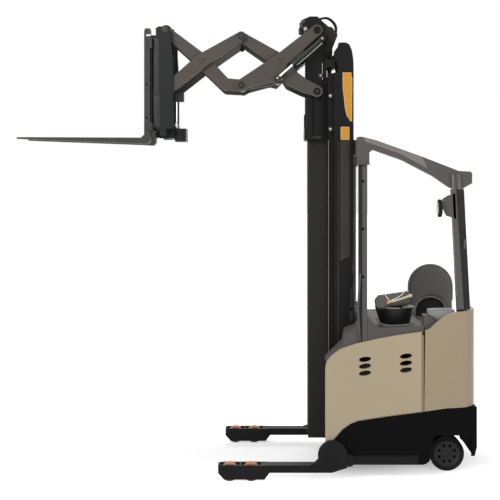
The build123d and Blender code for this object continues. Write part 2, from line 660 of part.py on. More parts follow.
def skirt():
    """Dark plate below the side panels, open over the rear wheel."""
    lower = [(x, z - SKIRT_DROP) for x, z in FRONT_PANEL[8:14]]
    top = [(x, z - SKIRT_DROP) for x, z in REAR_PANEL[8:11]]
    outline = [(SKIRT_FRONT_X, SKIRT_BOTTOM_Z), (SKIRT_ARCH_X[0], SKIRT_BOTTOM_Z), (SKIRT_ARCH_X[1], ARCH_Z)]
    outline += [(SKIRT_ARCH_X[2], ARCH_Z), (TAIL_X, TAIL_FACE_Z), (TAIL_X - TAIL_STEP, TAIL_TIP_Z)]
    outline += [(SKIRT_REAR_X, TAIL_TIP_Z), (SKIRT_REAR_X, top[0][1] - SIDE_GAP)] + top[1:] + lower
    outline += [(SKIRT_FRONT_X, lower[-1][1])]
    return side_plate(outline, PANEL_INNER_Y, SKIRT_OUTER_Y)


def rear_bumper():
    x0 = BODY_REAR_X - PANEL_SKIN
    tip = [(x0, TAIL_TIP_Z), (x0 + BUMPER_LIP, TAIL_TIP_Z), (BUMPER_REAR_X, TAIL_FACE_Z)]
    tail = tip + [(BUMPER_REAR_X, BUMPER_TOP_Z), (x0, BUMPER_TOP_Z)]
    low = tip + [(BUMPER_REAR_X, FLOOR_TOP_Z), (x0, FLOOR_TOP_Z)]
    return side_plate(tail, -SKIRT_OUTER_Y, BAY_SIDE_Y) + side_plate(low, BAY_SIDE_Y - 1, SKIRT_OUTER_Y)


for side_name, side in SIDES:
    save("front_panel_" + side_name, on_side(front_panel(), side))
    save("skirt_" + side_name, on_side(skirt(), side))
save("rear_panel_left", other_side(rear_panel(REAR_SKIN_ENDS[LEFT])))
save("rear_panel_right", rear_panel(REAR_SKIN_ENDS[RIGHT]))
save("rear_bumper", rear_bumper())

# Grey cover over the battery: X and Z of its outline
COVER = [
    (629, 857), (757, 982), (772, 1066), (847, 1103), (930, 1179), (994, 1107), (1276, 1122), (BAY_WALL_X, 1122),
    (BAY_WALL_X, BAY_BULKHEAD_TOP_Z), (BAY_X, BAY_BULKHEAD_TOP_Z), (BAY_X, WALL_TOP_Z), (629, WALL_TOP_Z),
]
COVER_SKIN = 10.0
COVER_HALF_W = 558.0
MAST_NOTCH_X = 855.0


def cover_solid(grow, half_w):
    plane = Plane(origin=(0, half_w, 0), x_dir=(1, 0, 0), z_dir=(0, -1, 0))
    face = make_face(Polyline(*COVER, close=True))
    if grow:
        face = offset(face, grow)
    return extrude(plane * face, 2 * half_w)


def top_cover():
    hollow = cover_solid(-COVER_SKIN, COVER_HALF_W - COVER_SKIN)
    shape = cover_solid(0, COVER_HALF_W) - hollow - Pos(0, 0, -COVER_SKIN - 1) * hollow
    shape -= block(600, MAST_NOTCH_X, -WING_INNER_Y, WING_INNER_Y, 800, 1300)
    hole = block(
        POST_X - SEAT_GAP, POST_X + POST_WIDTH + SEAT_GAP, GUARD_INNER_Y - SEAT_GAP, COVER_HALF_W + 1, WALL_TOP_Z, 1300
    )
    return shape - both_sides(hole)


save("top_cover", top_cover())

# Controls and padding
CONSOLE_X = 1150.0
CONSOLE_Y = -330.0
CONSOLE_RISE = 120.0
CONSOLE_TOP_Z = COVER[6][1] + CONSOLE_RISE
CONSOLE_R = 150.0
CONSOLE_FOOT_R = 105.0
CONSOLE_HEIGHT = 145.0
ROLL_RISE = 55.0
ROLL_Z = CONSOLE_TOP_Z + ROLL_RISE
ROLL_R = 50.0
ROLL_INSET = 60.0
ROLL_POST_HALF = 20.0
CONSOLE_RIM = 10.0
DISH_DEPTH = 20.0
TILLER_HUB_R = 60.0
TILLER_RISE = 12.0
TILLER_KNOB_R = 20.0
TILLER_KNOB_REACH = 34.0
LEVER_INSET = 33.0
LEVER_RISE = 30.0
LEVER_STEM_R = 6.0
LEVER_R = 14.0
LEVER_HALF = 30.0
ROLL_X = (1030.0, 1228.0)
ROLL_Y = -420.0


def console():
    bowl = Pos(CONSOLE_X, CONSOLE_Y, CONSOLE_TOP_Z - CONSOLE_HEIGHT / 2) * Cone(CONSOLE_FOOT_R, CONSOLE_R, CONSOLE_HEIGHT)
    dish_z = CONSOLE_TOP_Z - DISH_DEPTH / 2 + 0.5
    dish = Pos(CONSOLE_X, CONSOLE_Y, dish_z) * Cone(CONSOLE_R - 4 * CONSOLE_RIM, CONSOLE_R - CONSOLE_RIM, DISH_DEPTH + 1)
    post_x = (ROLL_X[0] + ROLL_INSET, ROLL_X[1] - ROLL_INSET)
    post_y = (ROLL_Y - ROLL_POST_HALF, ROLL_Y + ROLL_POST_HALF)
    post = block(*post_x, *post_y, CONSOLE_TOP_Z - ROLL_INSET, ROLL_Z - ROLL_R)
    return bowl - dish + post - cover_solid(0, COVER_HALF_W)


def steer_tiller():
    top = CONSOLE_TOP_Z + TILLER_RISE
    hub = rod_z(CONSOLE_X, CONSOLE_Y, TILLER_HUB_R, CONSOLE_TOP_Z - DISH_DEPTH, top)
    knob = rod_z(CONSOLE_X + TILLER_KNOB_REACH, CONSOLE_Y, TILLER_KNOB_R, top - 1, top + 2 * TILLER_KNOB_R)
    return hub + knob


def control_lever():
    x = ROLL_X[1] - LEVER_INSET
    bar_z = ROLL_Z + ROLL_R + LEVER_RISE
    stem = rod_z(x, ROLL_Y, LEVER_STEM_R, ROLL_Z + ROLL_R - LEVER_STEM_R, bar_z)
    grip = rod_x(ROLL_Y, bar_z, LEVER_R, x - LEVER_HALF, x + LEVER_HALF)
    return stem + grip - rod_x(ROLL_Y, ROLL_Z, ROLL_R, *ROLL_X)


def backrest():
    y1 = BACKREST_Y + BACKREST_THICK
    shape = rod_y(BACKREST_X, BACKREST_ARC_Z, BACKREST_R, BACKREST_Y, y1)
    x0 = BACKREST_X - BACKREST_R
    shape += block(x0, x0 + 2 * BACKREST_R, BACKREST_Y, y1, BACKREST_BOTTOM_Z, BACKREST_ARC_Z)
    arch = rod_y(ARCH_X, ARCH_TOP_Z - ARCH_R, ARCH_R, BACKREST_Y - 1, y1 + 1)
    arch += block(ARCH_X - ARCH_R, ARCH_X + ARCH_R, BACKREST_Y - 1, y1 + 1, BACKREST_BOTTOM_Z - 1, ARCH_TOP_Z - ARCH_R)
    return shape - arch


save("console_bowl", console())
save("steer_tiller", steer_tiller())
save("control_roll", rod_x(ROLL_Y, ROLL_Z, ROLL_R, *ROLL_X))
save("control_lever", control_lever())
pad_z = HUMP[-1][1] + SEAT_GAP
pad_y = (HUMP_Y[0] + ARM_PAD_INSET, HUMP_Y[1] - ARM_PAD_INSET)
save("armrest_pad", block(HUMP[0][0], HUMP[-1][0] - ARM_PAD_INSET, *pad_y, pad_z, pad_z + ARM_PAD_H) - bay_cover())
save("backrest", backrest())
bracket_y = BACKREST_Y + BACKREST_THICK
bracket = block(ARCH_X - ARCH_R - SIDE_GAP, ARCH_X + ARCH_R + SIDE_GAP, bracket_y, PANEL_INNER_Y, BACKREST_BOTTOM_Z + BRACKET_RAISE, BODY_HIGH_Z - BRACKET_RAISE)
bracket &= rounded_corner(BODY_REAR_X - PANEL_SKIN, PANEL_INNER_Y, REAR_CORNER_R - PANEL_SKIN)
save("backrest_bracket", bracket)

# Overhead guard: X and Z of the near beam's outline, and of the roof's top line
BEAM = [
    (848, 2301), (848, 2500), (867, 2507), (900, 2503), (1000, 2476), (1338, 2355), (1592, 2256), (1677, 2252),
    (1689, 2240), (1689, 2167), (1616, 2125), (1526, 2132), (1399, 2219), (1381, 2228), (1163, 2342), (963, 2410),
    (939, 2391), (939, 2301),
]
ROOF_LINE = BEAM[3:7]
FAR_BEAM_RISE = 25.0
FAR_BRACKET = [(939, 2420), (939, 2301), (848, 2301), (848, 2500), (880, 2516)]
HEADER_X = (858.0, 889.0)
HEADER_Z = (2380.0, 2490.0)
REAR_POST = [(1537, 2124), (1580, 1246), (1673, 1246), (1627, 2124)]
REAR_POST_TAB = [(1537, 2124), (1532, 2236), (1600, 2236), (1622, 2124)]
MIRROR_Z = 1984.0
MIRROR_R = 62.0
MIRROR_THICK = 22.0
MIRROR_PLATE_THICK = 6.0
MIRROR_STUB_R = 10.0
MIRROR_PLATE = [(1562, 2092), (1510, 2078), (1468, 2052), (1466, 2008), (1481, 1959), (1496, 1929), (1570, 1907)]
MIRROR_X = MIRROR_PLATE[3][0] - 26.0


def roof_z(x):
    for (x0, z0), (x1, z1) in zip(ROOF_LINE, ROOF_LINE[1:]):
        if x <= x1:
            break
    return z0 + (z1 - z0) * (x - x0) / (x1 - x0)


def guard_roof():
    """Deep beam on the left, slim one on the right, and flat bars between them."""
    roof = side_plate(BEAM, -GUARD_OUTER_Y, -GUARD_INNER_Y)
    top = [(x, z + FAR_BEAM_RISE) for x, z in ROOF_LINE]
    low = [(x, z - GUARD_BAR_THICK) for x, z in reversed(ROOF_LINE)]
    roof += side_plate(top + low[:-1] + FAR_BRACKET, GUARD_INNER_Y, GUARD_OUTER_Y)
    roof += block(*HEADER_X, -GUARD_INNER_Y - 1, GUARD_INNER_Y + 1, *HEADER_Z)
    half = GUARD_BAR / 2
    for x in GUARD_BARS:
        z0 = roof_z(x - half)
        z1 = roof_z(x + half)
        bar_outline = [(x - half, z0), (x + half, z1), (x + half, z1 - GUARD_BAR_THICK), (x - half, z0 - GUARD_BAR_THICK)]
        roof += side_plate(bar_outline, -GUARD_INNER_Y - 1, GUARD_INNER_Y + 1)
    return roof


def rear_post():
    post = side_plate(REAR_POST, -REAR_POST_OUTER_Y, -REAR_POST_INNER_Y)
    stem = block(*STEM_X, -STEM_OUTER_Y, -STEM_INNER_Y, DECK_Z + DECK_THICK, STEM_TOP_Z)
    tab = side_plate(REAR_POST_TAB, -REAR_POST_OUTER_Y, -GUARD_OUTER_Y)
    return post + tab + stem + block(*STEM_X, -REAR_POST_INNER_Y - 1, -STEM_INNER_Y, STEM_TOP_Z - STEM_TIE_H, STEM_TOP_Z)


save("guard_roof", guard_roof())
for side_name, side in SIDES:
    post = block(POST_X, POST_X + POST_WIDTH, GUARD_INNER_Y, POST_OUTER_Y, WALL_TOP_Z, BEAM[0][1])
    save("front_post_" + side_name, on_side(post, side))
save("rear_post", rear_post())
mirror_y = -REAR_POST_OUTER_Y - MIRROR_PLATE_THICK / 2
mirror_back = rod_x(mirror_y, MIRROR_Z, MIRROR_R, MIRROR_X, MIRROR_X + MIRROR_THICK)
mirror_back += rod_x(mirror_y, MIRROR_Z, MIRROR_STUB_R, MIRROR_X + MIRROR_THICK / 2, MIRROR_PLATE[3][0] + MIRROR_STUB_R)
save("mirror", mirror_back + side_plate(MIRROR_PLATE, -REAR_POST_OUTER_Y - MIRROR_PLATE_THICK, -REAR_POST_OUTER_Y))
screen_y = GUARD_INNER_Y - SEAT_GAP
save("mast_screen", block(SCREEN_X, SCREEN_X + SCREEN_THICK, -screen_y, screen_y, *SCREEN_Z))


# Mast
def channel(rail):
    """C section on the right, open towards the middle."""
    x0, x1, y0, z0, z1 = rail
    y1 = y0 + RAIL_WIDTH
    hollow = block(x0 + RAIL_SKIN, x1 - RAIL_SKIN, y0 - 1, y1 - RAIL_SKIN, z0 - 1, z1 + 1)
    return block(x0, x1, y0, y1, z0, z1) - hollow


def stage_roller(rail, outer_rail, z):
    """Plate on a rail and the roller that it carries in the rail around it."""
    rear = rail[1]
    y1 = rail[2] + RAIL_WIDTH
    centre = (outer_rail[0] + outer_rail[1]) / 2
    r = (outer_rail[1] - outer_rail[0]) / 2 - RAIL_SKIN - SEAT_GAP
    pin_r = RAIL_ROLLER_PIN_R
    end_y = outer_rail[2] + RAIL_WIDTH - RAIL_SKIN - SIDE_GAP
    plate = block(rear - RAIL_SKIN, centre + pin_r, y1 - RAIL_SKIN, y1, z - ROLLER_PLATE_HALF, z + ROLLER_PLATE_HALF)
    return plate + rod_y(centre, z, pin_r, y1 - 1, end_y) + rod_y(centre, z, r, outer_rail[2] + RUN_GAP, end_y)


def outer_mast():
    x0, x1, y0, z0, z1 = OUTER_RAIL
    y1 = y0 + RAIL_WIDTH
    half = channel(OUTER_RAIL) + side_plate(MAST_CAP, y0, y1)
    shape = both_sides(half)
    for z in (z0 + FOOT_RAISE, *CROSS_BAR_ZS, z1 - CROSS_BAR_H):
        shape += block(x1 - CROSS_BAR_THICK, x1, -y0 - 1, y0 + 1, z, z + CROSS_BAR_H)
    return shape


def middle_mast():
    x0, x1, y0, z0, z1 = MIDDLE_RAIL
    shape = both_sides(channel(MIDDLE_RAIL) + stage_roller(MIDDLE_RAIL, OUTER_RAIL, STAGE_ROLLER_Z))
    for z in (z0, z1 - CROSS_BAR_H):
        shape += block(x1 - CROSS_BAR_THICK, x1, -y0 - 1, y0 + 1, z, z + CROSS_BAR_H)
    return shape


def inner_mast():
    x0, x1, y0, z0, z1 = INNER_RAIL
    y1 = y0 + RAIL_WIDTH
    half = channel(INNER_RAIL) + stage_roller(INNER_RAIL, MIDDLE_RAIL, INNER_ROLLER_Z)
    bar_x = FREE_LIFT_X + FREE_LIFT_R + SIDE_GAP
    half += block(x1 - 1, bar_x + RAIL_SKIN, y1 - RAIL_SKIN, y1, z1 - HEAD_BAR_H, z1)
    half += block(bar_x, bar_x + RAIL_SKIN, -1, y1, z1 - HEAD_BAR_H, z1)
    half += block(bar_x, bar_x + RAIL_SKIN, -1, y1, z0, z0 + HEAD_BAR_H)
    half += block(x1 - 1, bar_x + 1, FREE_LIFT_Y - FREE_LIFT_R, y1, z0, z0 + LIFT_FOOT_H)
    half += side_plate(MAST_HEAD, HEAD_Y, HEAD_Y + HEAD_THICK)
    half += rod_y(HEAD_SHEAVE[0], HEAD_SHEAVE[1], HEAD_SHAFT_R, -1, HEAD_Y + 1)
    half += rod_y(HEAD_SHEAVE[0], HEAD_SHEAVE[1], HEAD_SHEAVE_R, ROLLER_PLATE_Y + ROLLER_PLATE_THICK + SIDE_GAP, HEAD_Y - SIDE_GAP)
    barrel = rod_z(FREE_LIFT_X, FREE_LIFT_Y, FREE_LIFT_R, z0 + LIFT_FOOT_H - 1, FREE_LIFT_BARREL_TOP_Z)
    bore = rod_z(FREE_LIFT_X, FREE_LIFT_Y, FREE_LIFT_ROD_R + SEAT_GAP, z0 + 2 * LIFT_FOOT_H, FREE_LIFT_BARREL_TOP_Z + 1)
    return both_sides(half + barrel - bore)


def free_lift_rods():
    rod = rod_z(FREE_LIFT_X, FREE_LIFT_Y, FREE_LIFT_ROD_R, INNER_RAIL[3] + FREE_LIFT_STROKE + 3 * LIFT_FOOT_H, FREE_LIFT_TOP_Z)
    top = FREE_LIFT_TOP_Z + HEAD_BLOCK_H
    half = HEAD_BLOCK_HALF
    head = block(FREE_LIFT_X - half, FREE_LIFT_X + half, FREE_LIFT_Y - half, FREE_LIFT_Y + half, FREE_LIFT_TOP_Z - 10, top)
    sheave_z = top + SHEAVE_R + SIDE_GAP
    side_y = FREE_LIFT_Y + half - HEAD_CHEEK
    head += block(FREE_LIFT_X - half, FREE_LIFT_X + half, side_y, side_y + HEAD_CHEEK, top - 1, sheave_z + half)
    head += rod_y(FREE_LIFT_X, sheave_z, SHEAVE_PIN_R, FREE_LIFT_Y - half + 4, side_y + 1)
    sheave = rod_y(FREE_LIFT_X, sheave_z, SHEAVE_R, FREE_LIFT_Y - half + 4, side_y - RUN_GAP)
    return both_sides(rod + head + sheave)


def lift_barrels():
    barrel = rod_z(LIFT_X, LIFT_Y, LIFT_R, TRAY_TOP_Z, LIFT_BARREL_TOP_Z)
    return both_sides(barrel - rod_z(LIFT_X, LIFT_Y, LIFT_ROD_R + SEAT_GAP, TRAY_TOP_Z + LIFT_FOOT_H, LIFT_BARREL_TOP_Z + 1))


def lift_rods():
    rod = rod_z(LIFT_X, LIFT_Y, LIFT_ROD_R, TRAY_TOP_Z + 3 * LIFT_FOOT_H, LIFT_ARM_Z + LIFT_ARM_H)
    arm_y = (LIFT_Y - LIFT_ROD_R, LIFT_Y + LIFT_ROD_R)
    arm = block(MIDDLE_RAIL[1], LIFT_X + 18, *arm_y, LIFT_ARM_Z, LIFT_ARM_Z + LIFT_ARM_H)
    return both_sides(rod + arm)


save("outer_mast", outer_mast())
save("middle_mast", middle_mast())
save("inner_mast", inner_mast())
save("free_lift_rods", free_lift_rods())
save("lift_barrels", lift_barrels())
save("lift_rods", lift_rods())


# Pantograph points in X and Z
def polar(origin, length, angle):
    a = radians(angle)
    return (origin[0] + length * cos(a), origin[1] + length * sin(a))


REAR_TOP = (PIVOT_REAR_X, PIVOT_TOP_Z)
CROSS_REAR = polar(REAR_TOP, LONG_HALF, 180 + LONG_ANGLE)
REAR_LOW = polar(CROSS_REAR, LONG_HALF, -LONG_ANGLE)
JOINT_TOP = polar(CROSS_REAR, SHORT_HALF, 180 - SHORT_ANGLE)
JOINT_LOW = polar(CROSS_REAR, SHORT_HALF, 180 + SHORT_ANGLE)
CROSS_FRONT = polar(JOINT_TOP, SHORT_HALF, 180 + SHORT_ANGLE)
FRONT_TOP = polar(CROSS_FRONT, LONG_HALF, 180 - LONG_ANGLE)
FRONT_LOW = polar(CROSS_FRONT, LONG_HALF, 180 + LONG_ANGLE)


def bar(p, q, r0, r1, y0, y1):
    """Flat bar between two points, as wide as its two end radii."""
    dx = q[0] - p[0]
    dz = q[1] - p[1]
    length = hypot(dx, dz)
    nx = -dz / length
    nz = dx / length
    outline = [
        (p[0] + nx * r0, p[1] + nz * r0),
        (q[0] + nx * r1, q[1] + nz * r1),
        (q[0] - nx * r1, q[1] - nz * r1),
        (p[0] - nx * r0, p[1] - nz * r0),
    ]
    return side_plate(outline, y0, y1)


def arm(stations, y0, holes):
    """Plate along stations of X, Z and half width, bored at the holes."""
    y1 = y0 + ARM_THICK
    x, z, r = stations[0]
    shape = rod_y(x, z, r, y0, y1)
    for start, end in zip(stations, stations[1:]):
        shape += bar(start[:2], end[:2], start[2], end[2], y0, y1)
        shape += rod_y(end[0], end[1], end[2], y0, y1)
    for (x, z), r in holes:
        shape -= rod_y(x, z, r, y0 - 1, y1 + 1)
    return shape


def station(point, half):
    return (point[0], point[1], half)


def pin(point, y0, y1):
    return rod_y(point[0], point[1], PIVOT_PIN_R, y0, y1)


def roller(point, y1):
    return rod_y(point[0], point[1], ROLLER_R, y1 - ROLLER_WIDTH, y1)


def rear_outer_arms():
    path = [station(REAR_TOP, ARM_END_R), station(CROSS_REAR, ARM_CROSS_R), station(JOINT_LOW, ARM_LOW_R)]
    shape = arm(path, OUTER_ARM_Y, [(REAR_TOP, PIN_HOLE_R)])
    shape += side_plate(ROD_WEB, OUTER_ARM_Y, OUTER_FACE_Y)
    shape += pin(CROSS_REAR, INNER_ARM_Y, OUTER_ARM_Y + 1)
    shape += pin(JOINT_LOW, INNER_ARM_Y - SIDE_GAP - 1, OUTER_ARM_Y + 1)
    shape += rod_y(JOINT_LOW[0], JOINT_LOW[1], CROSS_TUBE_R, -1, INNER_ARM_Y - SIDE_GAP)
    shape += bar(JOINT_LOW, CYL_EYE, RIB_WIDTH / 2, RIB_WIDTH / 2, -1, RIB_HALF_Y)
    shape += rod_y(CYL_EYE[0], CYL_EYE[1], RIB_WIDTH / 2, -1, RIB_HALF_Y)
    shape += rod_y(CYL_EYE[0], CYL_EYE[1], CYL_PIN_R, -1, CYL_Y + CYL_EYE_WIDTH)
    return both_sides(shape)


def rear_inner_arms():
    low_face = INNER_ARM_Y - SIDE_GAP
    path = [station(JOINT_TOP, ARM_TOP_R), station(CROSS_REAR, ARM_CROSS_R), *REAR_BENDS, station(REAR_LOW, ARM_LOW_R)]
    shape = arm(path, INNER_ARM_Y, [(CROSS_REAR, PIN_HOLE_R)])
    shape += roller(REAR_LOW, low_face - 1) + pin(REAR_LOW, low_face - 2, INNER_ARM_Y + 1)
    shape += rod_y(JOINT_TOP[0], JOINT_TOP[1], CROSS_TUBE_R, -1, low_face)
    shape += pin(JOINT_TOP, low_face - 1, OUTER_FACE_Y)
    return both_sides(shape)


def front_inner_arms():
    holes = [(FRONT_TOP, PIN_HOLE_R), (CROSS_FRONT, PIN_HOLE_R), (JOINT_LOW, PIN_HOLE_R)]
    path = [station(FRONT_TOP, ARM_TOP_R), station(CROSS_FRONT, ARM_CROSS_R), FRONT_BEND, station(JOINT_LOW, ARM_LOW_R)]
    return both_sides(arm(path, INNER_ARM_Y, holes))


def front_outer_arms():
    path = [station(FRONT_LOW, ARM_LOW_R), station(CROSS_FRONT, ARM_CROSS_R), station(JOINT_TOP, ARM_TOP_R)]
    shape = arm(path, OUTER_ARM_Y, [(JOINT_TOP, OPEN_HOLE_R)])
    shape += pin(CROSS_FRONT, INNER_ARM_Y, OUTER_ARM_Y + 1)
    shape += pin(FRONT_LOW, INNER_ARM_Y - SIDE_GAP - 2, OUTER_ARM_Y + 1) + roller(FRONT_LOW, INNER_ARM_Y - SIDE_GAP - 1)
    return both_sides(shape)


save("arm_rear_outer", rear_outer_arms())
save("arm_rear_inner", rear_inner_arms())
save("arm_front_inner", front_inner_arms())
save("arm_front_outer", front_outer_arms())


# Reach carriage: side channels outside the inner rails, roller plates inside them
def roller_channel(point, front_x, rear_x, bottom_z):
    slot = ROLLER_R + SEAT_GAP
    lips = block(front_x, point[0] - slot, WEB_Y, LIP_Y, bottom_z, CHANNEL_TOP_Z)
    return lips + block(point[0] + slot, rear_x, WEB_Y, LIP_Y, bottom_z, CHANNEL_TOP_Z)


def carriage():
    web_end = WEB_Y + WEB_THICK
    plate_end = ROLLER_PLATE_Y + ROLLER_PLATE_THICK
    outline = [
        (CARRIAGE_FRONT_X, CARRIAGE_BOTTOM_Z),
        (CARRIAGE_REAR_X, CARRIAGE_BOTTOM_Z),
        (CARRIAGE_REAR_X, CARRIAGE_TOP_Z - 40),
        (CARRIAGE_REAR_X - 18, CARRIAGE_TOP_Z - 24),
        (CARRIAGE_REAR_X - 42, CARRIAGE_TOP_Z),
        (CARRIAGE_FRONT_X + 28, CARRIAGE_TOP_Z),
        (CARRIAGE_FRONT_X - 34, CARRIAGE_TOP_Z - 28),
        (CARRIAGE_FRONT_X - 52, CARRIAGE_TOP_Z - 53),
        (CARRIAGE_FRONT_X - 49, CARRIAGE_TOP_Z - 98),
        (CARRIAGE_FRONT_X, CARRIAGE_TOP_Z - 103),
    ]
    shape = side_plate(outline, WEB_Y, web_end)
    shape += roller_channel(REAR_LOW, CARRIAGE_FRONT_X, CARRIAGE_REAR_X, CARRIAGE_BOTTOM_Z)
    shape += rod_y(REAR_TOP[0], REAR_TOP[1], BOSS_R, WEB_Y, OUTER_ARM_Y - ARM_THICK - 2 * ARM_SPACE)
    shape += pin(REAR_TOP, WEB_Y, OUTER_FACE_Y + 1)
    shape += rod_y(REAR_TOP[0], REAR_TOP[1], PIN_HEAD_R, OUTER_FACE_Y + SEAT_GAP, OUTER_FACE_Y + PIN_HEAD)
    front = CARRIAGE_FRONT_X - CROSS_PLATE_THICK / 2
    back = front + CROSS_PLATE_THICK
    shape += block(front, back, -1, web_end, HEAD_CROSS_Z, HEAD_CROSS_Z + HEAD_CROSS_H)
    shape += block(front, back, -1, web_end, CARRIAGE_BOTTOM_Z, CARRIAGE_BOTTOM_Z + CROSS_PLATE_H)
    shape += block(front, back, ROLLER_PLATE_Y, plate_end, HEAD_CROSS_Z - HEAD_LUG_H, HEAD_CROSS_Z + 1)
    low_z = RAIL_ROLLER_ZS[1] - ROLLER_PLATE_BELOW
    shape += block(back - 1, ROLLER_PLATE_REAR_X, ROLLER_PLATE_Y, plate_end, low_z, HEAD_CROSS_Z + 30)
    low_z = CARRIAGE_BOTTOM_Z + ROLLER_PLATE_THICK
    high_z = RAIL_ROLLER_ZS[0] + ROLLER_PLATE_ABOVE
    shape += block(front, ROLLER_PLATE_REAR_X, ROLLER_PLATE_Y, plate_end, low_z, high_z)
    shape += rod_y(CYL_BASE[0], CYL_BASE[1], CYL_PIN_R, -1, plate_end)
    rail_mid = (INNER_RAIL[0] + INNER_RAIL[1]) / 2
    rail_r = (INNER_RAIL[1] - INNER_RAIL[0]) / 2 - RAIL_SKIN - SEAT_GAP
    rail_web = INNER_RAIL_Y + RAIL_WIDTH - RAIL_SKIN
    for z in RAIL_ROLLER_ZS:
        shape += rod_y(rail_mid, z, RAIL_ROLLER_PIN_R, ROLLER_PLATE_Y, rail_web - SIDE_GAP)
        shape += rod_y(rail_mid, z, rail_r, plate_end + 2 * SIDE_GAP, rail_web - SIDE_GAP)
    return both_sides(shape)


save("reach_carriage", carriage())

# Reach cylinders lie between the base pin on the carriage and the eye pin on the rear outer arms
CYL_LENGTH = hypot(CYL_EYE[0] - CYL_BASE[0], CYL_EYE[1] - CYL_BASE[1])
CYL_ANGLE = degrees(atan2(CYL_EYE[1] - CYL_BASE[1], CYL_EYE[0] - CYL_BASE[0]))


def along_cylinder(shape):
    """Shapes are drawn along +X from the base pin."""
    return Pos(CYL_BASE[0], CYL_Y, CYL_BASE[1]) * Rot(0, -CYL_ANGLE, 0) * shape


def run(r, start, end):
    return Pos((start + end) / 2, 0, 0) * Rot(0, 90, 0) * Cylinder(r, end - start)


def eye(at, width, r):
    return Pos(at, 0, 0) * Rot(90, 0, 0) * Cylinder(r, width)


def reach_barrels():
    shape = run(CYL_R, CYL_BORE_R, CYL_BARREL) + eye(0, CYL_EYE_WIDTH, CYL_R + 1)
    shape -= run(CYL_BORE_R, CYL_R + CYL_GLAND, CYL_BARREL - CYL_GLAND)
    shape -= run(CYL_ROD_R + SEAT_GAP, CYL_BARREL - CYL_GLAND - 1, CYL_BARREL + 1)
    shape -= eye(0, 3 * CYL_EYE_WIDTH, CYL_PIN_R + SEAT_GAP)
    return both_sides(along_cylinder(shape))


def reach_rods():
    hole_r = CYL_PIN_R + CYL_EYE_GAP
    shape = run(CYL_ROD_R, CYL_ROD_START, CYL_LENGTH - hole_r)
    shape += run(CYL_BORE_R - SEAT_GAP, CYL_ROD_START, CYL_ROD_START + CYL_PISTON)
    shape += eye(CYL_LENGTH, CYL_EYE_WIDTH, hole_r + CYL_EYE_WALL)
    shape -= eye(CYL_LENGTH, 3 * CYL_EYE_WIDTH, hole_r)
    return both_sides(along_cylinder(shape))


save("reach_barrels", reach_barrels())
save("reach_rods", reach_rods())


# Fork carrier, tilt frame, side-shift frame and forks
def fork_carrier():
    web_end = WEB_Y + WEB_THICK
    shape = block(CARRIER_FRONT_X, CARRIER_REAR_X, WEB_Y, web_end, CARRIER_BOTTOM_Z, CARRIER_TOP_Z)
    shape += roller_channel(FRONT_LOW, CARRIER_FRONT_X, CARRIER_REAR_X, CARRIER_BOTTOM_Z + 50)
    shape += rod_y(FRONT_TOP[0], FRONT_TOP[1], BOSS_R, WEB_Y, LIP_Y)
    plate_end = COVER_PLATE_Y + COVER_PLATE_THICK
    shape += pin(FRONT_TOP, WEB_Y, COVER_PLATE_Y + 1)
    shape += side_plate(COVER_PLATE, COVER_PLATE_Y, plate_end)
    tie_top = CARRIER_TOP_Z - SIDE_GAP
    shape += block(CARRIER_FRONT_X - COVER_FLANGE, CARRIER_FRONT_X + 1, WEB_Y, plate_end, tie_top - CARRIER_TIE_H, tie_top)
    shape += rod_y(LOW_TIE[0], LOW_TIE[1], LOW_TIE_R, web_end - 1, plate_end)
    tie_x = (CARRIER_FRONT_X + CARRIER_REAR_X - CARRIER_TIE_DEPTH) / 2
    shape += block(tie_x, tie_x + CARRIER_TIE_DEPTH, -1, web_end, tie_top - CARRIER_TIE_H, tie_top)
    cross = block(TILT_BARREL_END_X - 40, CARRIER_REAR_X, -1, web_end, CARRIER_BOTTOM_Z, CARRIER_BOTTOM_Z + 60)
    shape += cross - rod_x(0, TILT_EYE[1], TILT_BARREL_R, TILT_BARREL_X, TILT_BARREL_END_X)
    x, z = TILT_PIVOT
    lug_y = TILT_LUG_Y + TILT_LUG_THICK
    shape += block(x, CARRIER_REAR_X - 33, lug_y, web_end, z - TILT_LUG_R, z + TILT_LUG_R)
    shape += rod_y(x, z, TILT_LUG_R, lug_y, web_end)
    shape += rod_y(x, z, TILT_PIN_R, TILT_LUG_Y, web_end)
    return both_sides(shape)


def tilt_frame():
    front = FRAME_BACK_X - FRAME_THICK
    shape = block(front, FRAME_BACK_X, -1, FRAME_HALF_W, UPPER_BAR_Z[0], UPPER_BAR_Z[1] + 20)
    shape += block(front, FRAME_BACK_X, STRAP_Y[0], STRAP_Y[1], LOWER_BAR_Z[0], UPPER_BAR_Z[0] + 1)
    shape += block(front, FRAME_BACK_X, -1, STRAP_Y[1], LOWER_BAR_Z[0], LOWER_BAR_Z[1])
    x, z = TILT_PIVOT
    lug_end = TILT_LUG_Y + TILT_LUG_THICK - SEAT_GAP
    shape += rod_y(x, z, TILT_LUG_R, TILT_LUG_Y, lug_end)
    shape += block(FRAME_BACK_X - 1, x, TILT_LUG_Y, lug_end, z - TILT_LUG_R, z)
    shape -= rod_y(x, z, TILT_PIN_R + BORE_GAP, TILT_LUG_Y - 1, lug_end + 1)
    x, z = TILT_EYE
    cheek_y = TILT_EYE_HALF_Y + RUN_GAP
    shape += block(front, x + TILT_EYE_R - 2, cheek_y, cheek_y + 9, z - TILT_EYE_R, LOWER_BAR_Z[0] + 1)
    shape += rod_y(x, z, TILT_EYE_PIN_R, -1, cheek_y + 1)
    return both_sides(shape)


def tilt_barrel():
    barrel = rod_x(0, TILT_EYE[1], TILT_BARREL_R, TILT_BARREL_X, TILT_BARREL_END_X)
    return barrel - rod_x(0, TILT_EYE[1], TILT_ROD_R + RUN_GAP, TILT_BARREL_X - 1, TILT_BARREL_END_X - 8)


